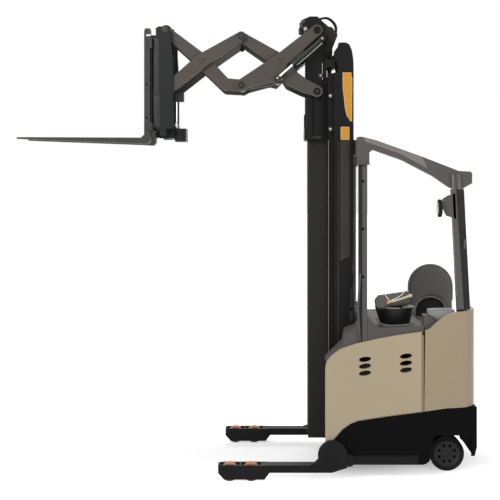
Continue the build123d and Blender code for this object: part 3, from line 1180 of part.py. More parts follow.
def tilt_rod():
    rod = rod_x(0, TILT_EYE[1], TILT_ROD_R, TILT_EYE[0] + 10, TILT_ROD_END_X)
    x, z = TILT_EYE
    half = TILT_EYE_HALF_Y
    hole_r = TILT_EYE_PIN_R + RUN_GAP
    rod += rod_y(x, z, TILT_EYE_R, -half, half)
    slot = rod_y(x, z, hole_r, -half - 1, half + 1) + rod_y(x, z + TILT_EYE_RISE, hole_r, -half - 1, half + 1)
    return rod - slot


SHIFT_BACK_X = FRAME_BACK_X - FRAME_THICK - SEAT_GAP
SHIFT_FRONT_X = SHIFT_BACK_X - SHIFT_THICK
SHANK_BACK_X = SHIFT_FRONT_X - SEAT_GAP
SHANK_FRONT_X = SHANK_BACK_X - FORK_THICK


def shift_frame():
    shape = block(SHIFT_FRONT_X, SHIFT_BACK_X, -1, SHIFT_HALF_W, UPPER_BAR_Z[0], UPPER_BAR_Z[1])
    shape += block(SHIFT_FRONT_X, SHIFT_BACK_X, -1, SHIFT_HALF_W, LOWER_BAR_Z[0], LOWER_BAR_Z[1])
    shape += block(SHIFT_FRONT_X, SHIFT_BACK_X, 60, 120, LOWER_BAR_Z[0], UPPER_BAR_Z[1])
    return both_sides(shape)


def fork():
    y0 = FORK_Y - FORK_WIDTH / 2
    y1 = FORK_Y + FORK_WIDTH / 2
    outline = [
        (SHANK_BACK_X, FORK_TOP_Z),
        (SHANK_FRONT_X + 8, FORK_TOP_Z),
        (SHANK_FRONT_X, FORK_TOP_Z - 20),
        (SHANK_FRONT_X, FORK_HEEL_TOP_Z + FORK_HEEL_CORNER),
        (SHANK_FRONT_X - FORK_HEEL_CORNER, FORK_HEEL_TOP_Z),
        (FORK_TIP_X, FORK_TIP_TOP_Z),
        (FORK_TIP_X, FORK_TIP_TOP_Z - FORK_TIP_THICK),
        (SHANK_FRONT_X - 60, FORK_BOTTOM_Z + 4),
        (SHANK_FRONT_X, FORK_BOTTOM_Z),
        (SHANK_BACK_X - 20, FORK_BOTTOM_Z),
        (SHANK_BACK_X, FORK_BOTTOM_Z + 20),
    ]
    shape = side_plate(outline, y0, y1)
    hook_x = SHIFT_BACK_X - 4
    shape += block(SHANK_BACK_X - 1, hook_x, y0 + 10, y1 - 10, UPPER_BAR_Z[1] + SEAT_GAP, UPPER_BAR_Z[1] + 25)
    shape += block(SHANK_BACK_X - 1, hook_x, y0 + 10, y1 - 10, LOWER_BAR_Z[0] - 20, LOWER_BAR_Z[0] - SEAT_GAP)
    tip = block(FORK_TIP_X - 1, FORK_TIP_X + 90, y0 - 1, y1 + 1, FORK_BOTTOM_Z, FORK_TIP_TOP_Z + 9)
    nose = plan_plate(
        [(FORK_TIP_X, FORK_Y - 22), (FORK_TIP_X + 91, y0), (FORK_TIP_X + 91, y1), (FORK_TIP_X, FORK_Y + 22)],
        FORK_BOTTOM_Z,
        FORK_TIP_TOP_Z + 9,
    )
    return shape - (tip - nose)


save("fork_carrier", fork_carrier())
save("tilt_frame", tilt_frame())
save("tilt_barrel", tilt_barrel())
save("tilt_rod", tilt_rod())
valve_bottom = CARRIER_BOTTOM_Z - VALVE_DROP
save("valve_block", block(CARRIER_REAR_X, VALVE_REAR_X, -VALVE_HALF_W, VALVE_HALF_W, valve_bottom, valve_bottom + VALVE_H))
save("hose_manifold", block(CARRIER_REAR_X, CARRIER_REAR_X + MANIFOLD_DEPTH, *MANIFOLD_Y, *MANIFOLD_Z))
save("shift_frame", shift_frame())
for side_name, side in SIDES:
    save("fork_" + side_name, on_side(fork(), side))
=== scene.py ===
import json
import math
import bmesh
import bpy
from mathutils import Matrix, Vector


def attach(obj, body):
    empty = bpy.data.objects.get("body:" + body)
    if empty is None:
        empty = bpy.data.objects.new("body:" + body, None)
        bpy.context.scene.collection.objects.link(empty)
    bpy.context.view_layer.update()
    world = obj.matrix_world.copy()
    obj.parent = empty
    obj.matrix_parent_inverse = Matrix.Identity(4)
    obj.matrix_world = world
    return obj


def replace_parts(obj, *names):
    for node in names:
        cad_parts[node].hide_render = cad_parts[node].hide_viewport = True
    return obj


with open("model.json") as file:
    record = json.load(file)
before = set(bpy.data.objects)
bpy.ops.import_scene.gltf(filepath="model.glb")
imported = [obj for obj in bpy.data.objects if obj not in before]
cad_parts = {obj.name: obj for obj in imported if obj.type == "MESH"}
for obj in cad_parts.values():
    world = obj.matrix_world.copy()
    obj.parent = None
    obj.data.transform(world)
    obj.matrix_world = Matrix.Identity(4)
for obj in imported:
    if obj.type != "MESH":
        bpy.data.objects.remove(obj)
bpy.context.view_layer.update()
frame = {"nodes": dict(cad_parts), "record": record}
NODES = frame["nodes"]


def srgb(r, g, b):
    def one(c):
        c /= 255
        return c / 12.92 if c <= 0.04045 else ((c + 0.055) / 1.055) ** 2.4
    return (one(r), one(g), one(b), 1.0)


def shade(color, k):
    return tuple(min(1.0, c * k) for c in color[:3]) + (1.0,)


# Materials
RAMP_FROM, RAMP_TO = 0.3, 0.7
BROAD_DETAIL, FINE_DETAIL, GRAIN_DETAIL = 4, 3, 2
FINE_SCALE_RATIO = 9
WEAR_SCALE, WEAR_DETAIL, WEAR_ROUGHNESS = 45, 8, 0.7
WEAR_FROM, WEAR_TO = 0.62, 0.72
COAT_ROUGHNESS = 0.25
BEVEL_SAMPLES = 3
GRAIN_DEPTH = 0.001
LEAST_ROUGHNESS = 0.02


def material(name, color, rough=0.5, metal=0.0, vary=0.08, scale=3.0, grain=0.0, grain_scale=600.0,
             rough_vary=0.08, bevel=0.0015, coat=0.0, wear=None, wear_amount=0.0, spec=0.5):
    """Paint or plastic: a colour that varies, a grain, rounded edges and worn spots where asked."""
    m = bpy.data.materials.new(name)
    m.use_nodes = True
    nt = m.node_tree
    n = nt.nodes
    n.clear()
    out = n.new("ShaderNodeOutputMaterial")
    bsdf = n.new("ShaderNodeBsdfPrincipled")
    nt.links.new(bsdf.outputs[0], out.inputs[0])
    coord = n.new("ShaderNodeTexCoord")
    big = n.new("ShaderNodeTexNoise")
    big.inputs["Scale"].default_value = scale
    big.inputs["Detail"].default_value = BROAD_DETAIL
    nt.links.new(coord.outputs["Object"], big.inputs["Vector"])
    ramp = n.new("ShaderNodeValToRGB")
    ramp.color_ramp.elements[0].position = RAMP_FROM
    ramp.color_ramp.elements[1].position = RAMP_TO
    ramp.color_ramp.elements[0].color = shade(color, 1 - vary)
    ramp.color_ramp.elements[1].color = shade(color, 1 + vary)
    nt.links.new(big.outputs["Fac"], ramp.inputs["Fac"])
    tint = ramp.outputs["Color"]
    if wear:
        spots = n.new("ShaderNodeTexNoise")
        spots.inputs["Scale"].default_value = WEAR_SCALE
        spots.inputs["Detail"].default_value = WEAR_DETAIL
        spots.inputs["Roughness"].default_value = WEAR_ROUGHNESS
        nt.links.new(coord.outputs["Object"], spots.inputs["Vector"])
        cut = n.new("ShaderNodeMapRange")
        cut.inputs["From Min"].default_value = WEAR_FROM
        cut.inputs["From Max"].default_value = WEAR_TO
        cut.inputs["To Max"].default_value = wear_amount
        nt.links.new(spots.outputs["Fac"], cut.inputs["Value"])
        mix = n.new("ShaderNodeMix")
        mix.data_type = "RGBA"
        nt.links.new(cut.outputs[0], mix.inputs["Factor"])
        nt.links.new(tint, mix.inputs[6])
        mix.inputs[7].default_value = wear
        tint = mix.outputs[2]
    nt.links.new(tint, bsdf.inputs["Base Color"])
    bsdf.inputs["Metallic"].default_value = metal
    bsdf.inputs["Specular IOR Level"].default_value = spec
    if coat:
        bsdf.inputs["Coat Weight"].default_value = coat
        bsdf.inputs["Coat Roughness"].default_value = COAT_ROUGHNESS
    rr = n.new("ShaderNodeMapRange")
    rr.inputs["To Min"].default_value = max(LEAST_ROUGHNESS, rough - rough_vary)
    rr.inputs["To Max"].default_value = min(1.0, rough + rough_vary)
    fine = n.new("ShaderNodeTexNoise")
    fine.inputs["Scale"].default_value = scale * FINE_SCALE_RATIO
    fine.inputs["Detail"].default_value = FINE_DETAIL
    nt.links.new(coord.outputs["Object"], fine.inputs["Vector"])
    nt.links.new(fine.outputs["Fac"], rr.inputs["Value"])
    nt.links.new(rr.outputs[0], bsdf.inputs["Roughness"])
    normal = None
    if bevel:
        bev = n.new("ShaderNodeBevel")
        bev.samples = BEVEL_SAMPLES
        bev.inputs["Radius"].default_value = bevel
        normal = bev.outputs[0]
    if grain:
        g = n.new("ShaderNodeTexNoise")
        g.inputs["Scale"].default_value = grain_scale
        g.inputs["Detail"].default_value = GRAIN_DETAIL
        nt.links.new(coord.outputs["Object"], g.inputs["Vector"])
        bump = n.new("ShaderNodeBump")
        bump.inputs["Strength"].default_value = grain
        bump.inputs["Distance"].default_value = GRAIN_DEPTH
        nt.links.new(g.outputs["Fac"], bump.inputs["Height"])
        if normal:
            nt.links.new(normal, bump.inputs["Normal"])
        normal = bump.outputs[0]
    if normal:
        nt.links.new(normal, bsdf.inputs["Normal"])
    m.diffuse_color = color
    return m


# Finishes that several materials share
BEIGE_FINISH = dict(rough=0.42, vary=0.03, scale=1.4, grain=0.05, grain_scale=350, coat=0.1, spec=0.3)
MAST_FINISH = dict(grain=0.08, grain_scale=250)
CARRIER_FINISH = dict(vary=0.06, grain_scale=320)
GUARD_FINISH = dict(grain=0.06, grain_scale=300)
LEATHER_FINISH = dict(rough=0.5, scale=8, grain_scale=420, bevel=0.003, spec=0.25)

BEIGE = material("beige_paint", srgb(172, 156, 131), **BEIGE_FINISH)
# Darker copy of the beige paint for the rear panels: painted shade
BEIGE_SHADED = material("beige_painted_shade", srgb(158, 142, 117), **BEIGE_FINISH)
COVER = material("grey_cover", srgb(85, 82, 80), rough=0.62, vary=0.05, grain=0.35, grain_scale=900,
                 spec=0.2)
SKIRT = material("black_skirt", srgb(8, 8, 8), rough=0.55, vary=0.15, grain=0.3, grain_scale=800,
                 spec=0.05)
CHASSIS = material("chassis_paint", srgb(24, 24, 24), rough=0.5, vary=0.15, grain=0.12,
                   grain_scale=300, wear=srgb(78, 74, 68), wear_amount=0.3, spec=0.1)
MAST = material("mast_paint", srgb(28, 27, 27), rough=0.42, vary=0.12, spec=0.1, **MAST_FINISH)
MAST_INNER = material("inner_mast_paint", srgb(44, 43, 41), rough=0.42, vary=0.1, spec=0.1,
                      **MAST_FINISH)
# Grey-brown for the ribs, and for a plate that paints a reflection on the mast's side
MAST_GREY = material("mast_rib_and_reflection", srgb(62, 57, 54), rough=0.4, vary=0.1, spec=0.12,
                     **MAST_FINISH)
# Light grey for the rail edges: painted highlight
MAST_HIGHLIGHT = material("mast_edge_highlight", srgb(134, 131, 128), rough=0.35, vary=0.08, grain=0.05,
                     grain_scale=250, spec=0.25)
ARM = material("arm_paint", srgb(80, 75, 70), rough=0.46, vary=0.07, grain=0.15, grain_scale=320,
               wear=srgb(112, 106, 98), wear_amount=0.3, spec=0.15)
CARRIER = material("carrier_paint", srgb(37, 39, 38), rough=0.45, grain=0.12, spec=0.12,
                   **CARRIER_FINISH)
# Lighter copy of the carrier paint for its front bevels: painted highlight
CARRIER_HIGHLIGHT = material("carrier_edge_highlight", srgb(52, 53, 54), rough=0.4, grain=0.1, spec=0.2,
                        **CARRIER_FINISH)
FORK = material("fork_steel", srgb(68, 65, 60), rough=0.48, vary=0.1, grain=0.15, grain_scale=280,
                wear=srgb(118, 113, 104), wear_amount=0.35, spec=0.15)
GUARD = material("guard_paint", srgb(86, 82, 80), rough=0.42, vary=0.05, spec=0.2, **GUARD_FINISH)
GUARD_LIGHT = material("guard_lit_face", srgb(120, 117, 114), rough=0.4, vary=0.05, spec=0.3,
                       **GUARD_FINISH)
# Darker copy of the guard paint for the channels of the posts: painted shade
GUARD_SHADE = material("guard_channel_shade", srgb(44, 42, 41), rough=0.45, vary=0.08, spec=0.12,
                      **GUARD_FINISH)
TAN_TYRE = material("load_tyre", srgb(186, 122, 84), rough=0.55, scale=9, grain=0.2,
                    grain_scale=400, spec=0.2)
TYRE = material("drive_tyre", srgb(38, 38, 39), rough=0.7, scale=6, grain=0.3, grain_scale=500,
                spec=0.1)
DISC = material("wheel_disc", srgb(50, 49, 51), rough=0.5, scale=6, grain=0.15, grain_scale=500,
                spec=0.2)
CHROME = material("cylinder_chrome", srgb(205, 204, 202), rough=0.13, metal=1.0, vary=0.03,
                  rough_vary=0.05, bevel=0.0008)
STEEL = material("bright_steel", srgb(168, 166, 160), rough=0.3, metal=1.0, vary=0.06, grain=0.05,
                 bevel=0.0006)
BARREL = material("barrel_paint", srgb(26, 26, 26), rough=0.36, spec=0.3)
PAD = material("pad_leather", srgb(88, 86, 83), vary=0.06, grain=0.5, **LEATHER_FINISH)
REST = material("arm_rest_leather", srgb(138, 137, 135), vary=0.05, grain=0.4, **LEATHER_FINISH)
# Welt lighter than the leather: painted highlight on the piping
WELT = material("pad_welt_highlight", srgb(126, 124, 120), rough=0.45, vary=0.05, scale=8, grain=0.3,
                grain_scale=500, bevel=0, spec=0.3)
RUBBER = material("black_rubber", srgb(18, 18, 18), rough=0.6, vary=0.15, grain=0.2,
                  grain_scale=700, spec=0.12)
CONSOLE = material("console_plastic", srgb(22, 21, 21), rough=0.38, vary=0.12, grain=0.15,
                   grain_scale=900, spec=0.25)
BATTERY = material("battery_case", srgb(20, 21, 23), grain=0.15, spec=0.2)
ORANGE = material("orange_film", srgb(205, 145, 50), rough=0.4, vary=0.05, scale=5, spec=0.25)
ORANGE_EDGE = material("orange_edge", srgb(228, 184, 146), rough=0.45, vary=0.04, spec=0.2)
WHITE = material("white_mark", srgb(225, 224, 220), vary=0.04, spec=0.3)
CREAM = material("cream_plastic", srgb(200, 186, 156), rough=0.35, vary=0.05, spec=0.4)
BRASS = material("warm_brass", srgb(176, 132, 88), rough=0.3, metal=0.6, spec=0.4)
# Near-black for holes and recesses: painted shade where light does not reach
DARK = material("recess_painted_shade", srgb(6, 6, 6), rough=0.8, vary=0.1, spec=0.02)
HOSE = material("hose_rubber", srgb(20, 20, 21), rough=0.45, vary=0.1, grain=0.15, grain_scale=1200,
                spec=0.3)
# Mirror tinted pinkish grey: the colour of a painted reflection
MIRROR = material("mirror_glass", srgb(146, 128, 122), rough=0.04, metal=1.0, vary=0.02,
                  rough_vary=0.01, bevel=0)


def clear_material(name, tint, alpha, rough, spec):
    """Thin clear sheet, mostly see-through."""
    m = bpy.data.materials.new(name)
    m.use_nodes = True
    b = m.node_tree.nodes["Principled BSDF"]
    b.inputs["Base Color"].default_value = tint
    b.inputs["Roughness"].default_value = rough
    b.inputs["Alpha"].default_value = alpha
    b.inputs["Specular IOR Level"].default_value = spec
    m.surface_render_method = "BLENDED"
    return m


SCREEN = clear_material("clear_screen", srgb(120, 124, 126), alpha=0.07, rough=0.3, spec=0.08)

SLOT_MATERIALS = {
    "beige_paint": BEIGE, "grey_cover": COVER, "black_skirt": SKIRT, "chassis_paint": CHASSIS,
    "mast_paint": MAST, "arm_paint": ARM, "fork_steel": FORK, "guard_paint": GUARD,
    "load_tyre": TAN_TYRE, "drive_tyre": TYRE, "cylinder_chrome": CHROME, "barrel_paint": BARREL,
    "pad": PAD, "console_plastic": CONSOLE, "screen": SCREEN, "battery": BATTERY,
}
for part in frame["record"]["subparts"]:
    node = NODES.get(part["node"])
    if node and part["material_slot"] in SLOT_MATERIALS:
        node.data.materials.clear()
        node.data.materials.append(SLOT_MATERIALS[part["material_slot"]])


def paint(mat, *names):
    """Gives these nodes this material."""
    for name in names:
        NODES[name].data.materials.clear()
        NODES[name].data.materials.append(mat)


paint(CARRIER, "fork_carrier", "tilt_frame")
paint(MAST, "reach_carriage")
paint(MAST_INNER, "inner_mast")
# Rear panels in the darker beige: painted shade
paint(BEIGE_SHADED, "rear_panel_left", "rear_panel_right")
paint(CONSOLE, "backrest_bracket")


# Mesh helpers
AXIS_TURNS = {
    "Z": Matrix(),
    "Y": Matrix.Rotation(math.pi / 2, 4, "X"),
    "X": Matrix.Rotation(math.pi / 2, 4, "Y"),
}
TINY = 1e-5
TUBE_SUBSTEPS = 6
WASHER_WIDER, WASHER_THICK = 1.5, 0.0025
BOLT_SIDE, BOLT_TOP, BOLT_TOP_R = 0.6, 0.75, 0.85
TUBE_UP = Vector((0.03, 1, 0.02)).normalized()
EDGE_ROUNDING = dict(segments=2, profile=0.7, affect="EDGES")
SHARP_ANGLE = math.radians(32)


class Kit:
    """Gathers shapes of one material into one piece that rides on one body."""

    def __init__(self, name, mat, body="chassis", slot=None):
        self.name, self.mat, self.body, self.slot = name, mat, body, slot
        self.bm = bmesh.new()

    def put(self, part, matrix=Matrix()):
        bmesh.ops.recalc_face_normals(part, faces=part.faces)
        part.transform(matrix)
        mesh = bpy.data.meshes.new("part")
        part.to_mesh(mesh)
        part.free()
        self.bm.from_mesh(mesh)
        bpy.data.meshes.remove(mesh)
        return self

    def box(self, x0, x1, y0, y1, z0, z1, edge=0.002, matrix=Matrix()):
        part = bmesh.new()
        bmesh.ops.create_cube(part, size=1)
        bmesh.ops.scale(part, vec=(x1 - x0, y1 - y0, z1 - z0), verts=part.verts)
        bmesh.ops.translate(part, vec=((x0 + x1) / 2, (y0 + y1) / 2, (z0 + z1) / 2), verts=part.verts)
        edge = min(edge, 0.45 * min(x1 - x0, y1 - y0, z1 - z0))
        bmesh.ops.bevel(part, geom=part.edges[:], offset=edge, **EDGE_ROUNDING)
        return self.put(part, matrix)

    def plate(self, points, y0, y1, edge=0.0012, matrix=Matrix()):
        part = bmesh.new()
        face = part.faces.new([part.verts.new((x, y0, z)) for x, z in points])
        made = bmesh.ops.extrude_face_region(part, geom=[face])["geom"]
        verts = [g for g in made if isinstance(g, bmesh.types.BMVert)]
        bmesh.ops.translate(part, vec=(0, y1 - y0, 0), verts=verts)
        if edge:
            bmesh.ops.bevel(part, geom=part.edges[:], offset=edge, **EDGE_ROUNDING)
        return self.put(part, matrix)

    def lathe(self, profile, centre, axis="Y", steps=32):
        """Profile of radius and height turned around the axis."""
        part = bmesh.new()
        rings = []
        for r, h in profile:
            turn = [2 * math.pi * i / steps for i in range(steps)]
            r = max(r, TINY)
            rings.append([part.verts.new((r * math.cos(a), r * math.sin(a), h)) for a in turn])
        for low, high in zip(rings, rings[1:]):
            for i in range(steps):
                part.faces.new((low[i], low[(i + 1) % steps], high[(i + 1) % steps], high[i]))
        part.faces.new(rings[0][::-1])
        part.faces.new(rings[-1])
        return self.put(part, Matrix.Translation(centre) @ AXIS_TURNS[axis])

    def bolt(self, x, y, z, r=0.009, axis="Y"):
        """Hexagon head on a washer, facing away from the middle."""
        out = 1 if y > 0 else -1
        h = -out if axis == "Y" else 1
        self.lathe([(r * WASHER_WIDER, 0), (r * WASHER_WIDER, h * WASHER_THICK)], (x, y, z), axis)
        head = [(r, 0), (r, h * r * BOLT_SIDE), (r * BOLT_TOP_R, h * r * BOLT_TOP)]
        return self.lathe(head, (x, y, z), axis, steps=6)

    def tube(self, points, r, steps=10):
        """Round tube through the points, smoothed."""
        pts = [Vector(p) for p in points]
        fine = []
        for i in range(len(pts) - 1):
            a, b = pts[max(i - 1, 0)], pts[min(i + 2, len(pts) - 1)]
            p, q = pts[i], pts[i + 1]
            for k in range(TUBE_SUBSTEPS):
                t = k / TUBE_SUBSTEPS
                bend = (2 * a - 5 * p + 4 * q - b) * t * t + (3 * p - a - 3 * q + b) * t ** 3
                fine.append(0.5 * (2 * p + (q - a) * t + bend))
        fine.append(pts[-1])
        part = bmesh.new()
        rings = []
        for i, p in enumerate(fine):
            ahead = (fine[min(i + 1, len(fine) - 1)] - fine[max(i - 1, 0)]).normalized()
            side = ahead.cross(TUBE_UP).normalized()
            other = side.cross(ahead)
            turn = [2 * math.pi * k / steps for k in range(steps)]
            around = [math.cos(a) * side + math.sin(a) * other for a in turn]
            rings.append([part.verts.new(p + r * way) for way in around])
        for low, high in zip(rings, rings[1:]):
            for k in range(steps):
                part.faces.new((low[k], low[(k + 1) % steps], high[(k + 1) % steps], high[k]))
        part.faces.new(rings[0][::-1])
        part.faces.new(rings[-1])
        return self.put(part)

    def done(self, smooth=True):
        mesh = bpy.data.meshes.new(self.name)
        self.bm.to_mesh(mesh)
        self.bm.free()
        piece = bpy.data.objects.new(self.name, mesh)
        bpy.context.scene.collection.objects.link(piece)
        mesh.materials.append(self.mat)
        if smooth:
            for f in mesh.polygons:
                f.use_smooth = True
            mesh.set_sharp_from_angle(angle=SHARP_ANGLE)
        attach(piece, self.body)
        return piece


SIDES = ((-1, "left"), (1, "right"))

# Faces of the CAD parts that the pieces sit on: distances from the middle plane, in metres
MAST_FACE = 0.235
MIDDLE_MAST_FACE = 0.22
WEB_FACE = 0.16
ARM_FACE = 0.2402
ROLLER_FACE = 0.2142
CARRIER_FACE = 0.258
FORK_FACE = 0.241
POST_FACE = 0.556
GUARD_FACE = 0.575
REAR_POST_FACE = 0.586


def span(y, thick):
    """Y range standing out from a face, on whichever side it lies."""
    return (y - thick, y) if y < 0 else (y, y + thick)


def outward(y):
    """Sign of a lathe's height that leads away from the middle plane."""
    return -1 if y > 0 else 1


CAP_SIDE, CAP_TOP_R = 0.7, 0.82


def ring(kit, x, z, y, r_in, r_out, out):
    """Raised ring on a face."""
    s = outward(y)
    profile = [(r_out, 0), (r_out, s * out), (r_in, s * out), (r_in, 0)]
    return kit.lathe(profile, (x, y, z), "Y", steps=40)


def cap(kit, x, z, y, r, out):
    """Low pin head with a chamfer."""
    s = outward(y)
    profile = [(r, 0), (r, s * out * CAP_SIDE), (r * CAP_TOP_R, s * out), (0, s * out)]
    return kit.lathe(profile, (x, y, z), "Y", steps=32)


def pin(kit, x, z, y, r, out):
    """Plain round pin on a face."""
    return kit.lathe([(r, 0), (r, outward(y) * out)], (x, y, z), "Y", steps=24)


def shrink(points, by):
    """The same outline drawn in by this much on every side."""
    mid_x = (min(p[0] for p in points) + max(p[0] for p in points)) / 2
    mid_z = (min(p[1] for p in points) + max(p[1] for p in points)) / 2
    return [(x + (by if x < mid_x else -by), z + (by if z < mid_z else -by)) for x, z in points]


# Marks of the mast, and the outline of a lighter plate that paints a reflection on its side: outlines
# in X and Z
FILM = [
    (0.7655, 3.009), (0.832, 3.009), (0.832, 2.982), (0.8385, 2.967), (0.8365, 2.635),
    (0.8205, 2.6415), (0.796, 2.682), (0.783, 2.737), (0.776, 2.8045), (0.7655, 2.9),
]
STAMP_X, STAMP_Z, STAMP_CUT = (0.75, 0.817), (2.4955, 2.595), 0.0055
STAMP = [
    (STAMP_X[0], STAMP_Z[1] - STAMP_CUT), (STAMP_X[0] + STAMP_CUT, STAMP_Z[1]),
    (STAMP_X[1] - STAMP_CUT, STAMP_Z[1]), (STAMP_X[1], STAMP_Z[1] - STAMP_CUT),
    (STAMP_X[1], STAMP_Z[0] + STAMP_CUT), (STAMP_X[1] - STAMP_CUT, STAMP_Z[0]),
    (STAMP_X[0] + STAMP_CUT, STAMP_Z[0]), (STAMP_X[0], STAMP_Z[0] + STAMP_CUT),
]
# Lighter plate on the mast's side: painted reflection
PANEL = [(0.746, 2.487), (0.818, 2.487), (0.818, 1.6095), (0.746, 1.573)]
FILM_BORDER = 0.0043
FILM_EDGE_THICK = 0.0004
FILM_THICK = 0.0007
PANEL_THICK = 0.003
MAST_BOLT_X = 0.715
MAST_BOLT_Z = (0.9, 1.3, 1.7, 2.1, 2.5, 2.9)
MAST_BOLT_R = 0.008
for side, tag in SIDES:
    y = side * MAST_FACE
    border = Kit("mast_film_edge_" + tag, ORANGE_EDGE)
    film = Kit("mast_film_" + tag, ORANGE)
    for shape in (FILM, STAMP):
        border.plate(shape, *span(y, FILM_EDGE_THICK), edge=0)
        film.plate(shrink(shape, FILM_BORDER), *span(y, FILM_THICK), edge=0)
    border.done(smooth=False)
    film.done(smooth=False)
    # Lighter plate on the mast's side: painted reflection
    panel = Kit("mast_reflection_plate_" + tag, MAST_GREY)
    panel.plate(PANEL, *span(y, PANEL_THICK))
    panel.done()
    bolts = Kit("mast_bolts_" + tag, MAST)
    for z in MAST_BOLT_Z:
        bolts.bolt(MAST_BOLT_X, y, z, MAST_BOLT_R)
    bolts.done()

# Joints of the arms in the rest pose, X and Z: they mirror about the height of the crossings
CROSS_Z, CROSS_FRONT_X, CROSS_REAR_X = 3.1, -0.3062, 0.292
REAR_X, FRONT_X = 0.571, -0.5852
MIDDLE_X = (REAR_X + FRONT_X) / 2
END_RISE, MIDDLE_RISE = 0.232, 0.187
PIVOTS = {
    "top": (MIDDLE_X, CROSS_Z + MIDDLE_RISE), "low": (MIDDLE_X, CROSS_Z - MIDDLE_RISE),
    "rear_low": (REAR_X, CROSS_Z - END_RISE), "front_top": (FRONT_X, CROSS_Z + END_RISE),
    "cross_front": (CROSS_FRONT_X, CROSS_Z), "cross_rear": (CROSS_REAR_X, CROSS_Z),
}
CROSS_BOLTS = ((-0.016, 0.012), (0.016, 0.012), (0.0, -0.014))
CROSS_BOLT_R, CROSS_BOLT_OUT = 0.0085, 0.004
# Piece, material, body, pivot, face, then the ring as inner and outer radius and height,
# and the cap as radius and height
JOINT_HEADS = (
    ("joint_rings_top", DISC, "arm_front_outer", "top", ARM_FACE, (0.019, 0.03, 0.003), None),
    ("joint_cap_top", FORK, "arm_rear_inner", "top", ARM_FACE, None, (0.018, 0.007)),
    ("joint_rings_low", FORK, "arm_rear_outer", "low", ARM_FACE, (0.021, 0.031, 0.004), (0.017, 0.008)),
    ("roller_cap", DISC, "arm_rear_inner", "rear_low", ROLLER_FACE, None, (0.015, 0.006)),
    ("roller_ring", RUBBER, "arm_rear_inner", "rear_low", ROLLER_FACE, (0.018, 0.026, 0.003), None),
)
for side, tag in SIDES:
    for end in ("front", "rear"):
        marks = Kit(f"cross_bolts_{end}_outer_{tag}", FORK, f"arm_{end}_outer")
        x, z = PIVOTS["cross_" + end]
        for dx, dz in CROSS_BOLTS:
            cap(marks, x + dx, z + dz, side * ARM_FACE, CROSS_BOLT_R, CROSS_BOLT_OUT)
        marks.done()
    for name, mat, body, pivot, face, ring_size, cap_size in JOINT_HEADS:
        heads = Kit(f"{name}_{tag}", mat, body)
        if ring_size:
            ring(heads, *PIVOTS[pivot], side * face, *ring_size)
        if cap_size:
            cap(heads, *PIVOTS[pivot], side * face, *cap_size)
        heads.done()

# Stop under the upper middle joint
KNOB_PROFILE = [(0.012, -0.012), (0.018, -0.008), (0.018, 0.008), (0.012, 0.012)]
KNOB_Z, KNOB_STEM_TOP_Z, KNOB_STEM_R = 3.213, 3.266, 0.008
knob = Kit("stop_knob", RUBBER, "arm_rear_inner")
knob_x = PIVOTS["top"][0]
knob.lathe(KNOB_PROFILE, (knob_x, 0, KNOB_Z), "Y", steps=24)
knob.tube([(knob_x, 0, KNOB_STEM_TOP_Z), (knob_x, 0, KNOB_Z)], KNOB_STEM_R)
knob.done()

# Wheels of the legs: hubs on both faces
LOAD_WHEEL_X = {"front": -0.08, "rear": 0.076}
LOAD_WHEEL_Y, LOAD_WHEEL_Z = 0.5675, 0.065
HUB_OFFSET = 0.046
HUB_R, HUB_TOP_R, HUB_SIDE, HUB_OUT = 0.026, 0.02, 0.003, 0.006
for side, tag in SIDES:
    for where, x in LOAD_WHEEL_X.items():
        hub = Kit(f"load_hub_{tag}_{where}", STEEL, f"load_wheel_{tag}_{where}", "load_tyre")
        for s in (1, -1):
            profile = [(HUB_R, 0), (HUB_R, s * HUB_SIDE), (HUB_TOP_R, s * HUB_OUT), (0, s * HUB_OUT)]
            hub.lathe(profile, (x, side * LOAD_WHEEL_Y - s * HUB_OFFSET, LOAD_WHEEL_Z), "Y", steps=28)
        hub.done()

# Carriage head and web: clamp, pins on bosses, foot plate and a bright strip that paints a highlight
# line
CLAMP_Y, CLAMP_R = 0.156, 0.0115
CLAMP_PATH = ((0.461, 3.364), (0.449, 3.379), (0.454, 3.4), (0.479, 3.412))
WEB_PIN_FACE = 0.1604
# X, Z, pin radius and height, boss radius
WEB_PINS = ((0.484, 3.352, 0.016, 0.01, 0.017), (0.6, 2.993, 0.009, 0.006, 0.018))
BOSS_OUT = 0.004
FOOT_X, FOOT_Z, FOOT_THICK, FOOT_EDGE = (0.495, 0.612), (2.505, 2.53), 0.008, 0.003
# Bright strip down the web: painted highlight line
STRIP_X, STRIP_Z, STRIP_THICK, STRIP_EDGE = (0.6125, 0.6165), (2.52, 3.09), 0.002, 0.0008
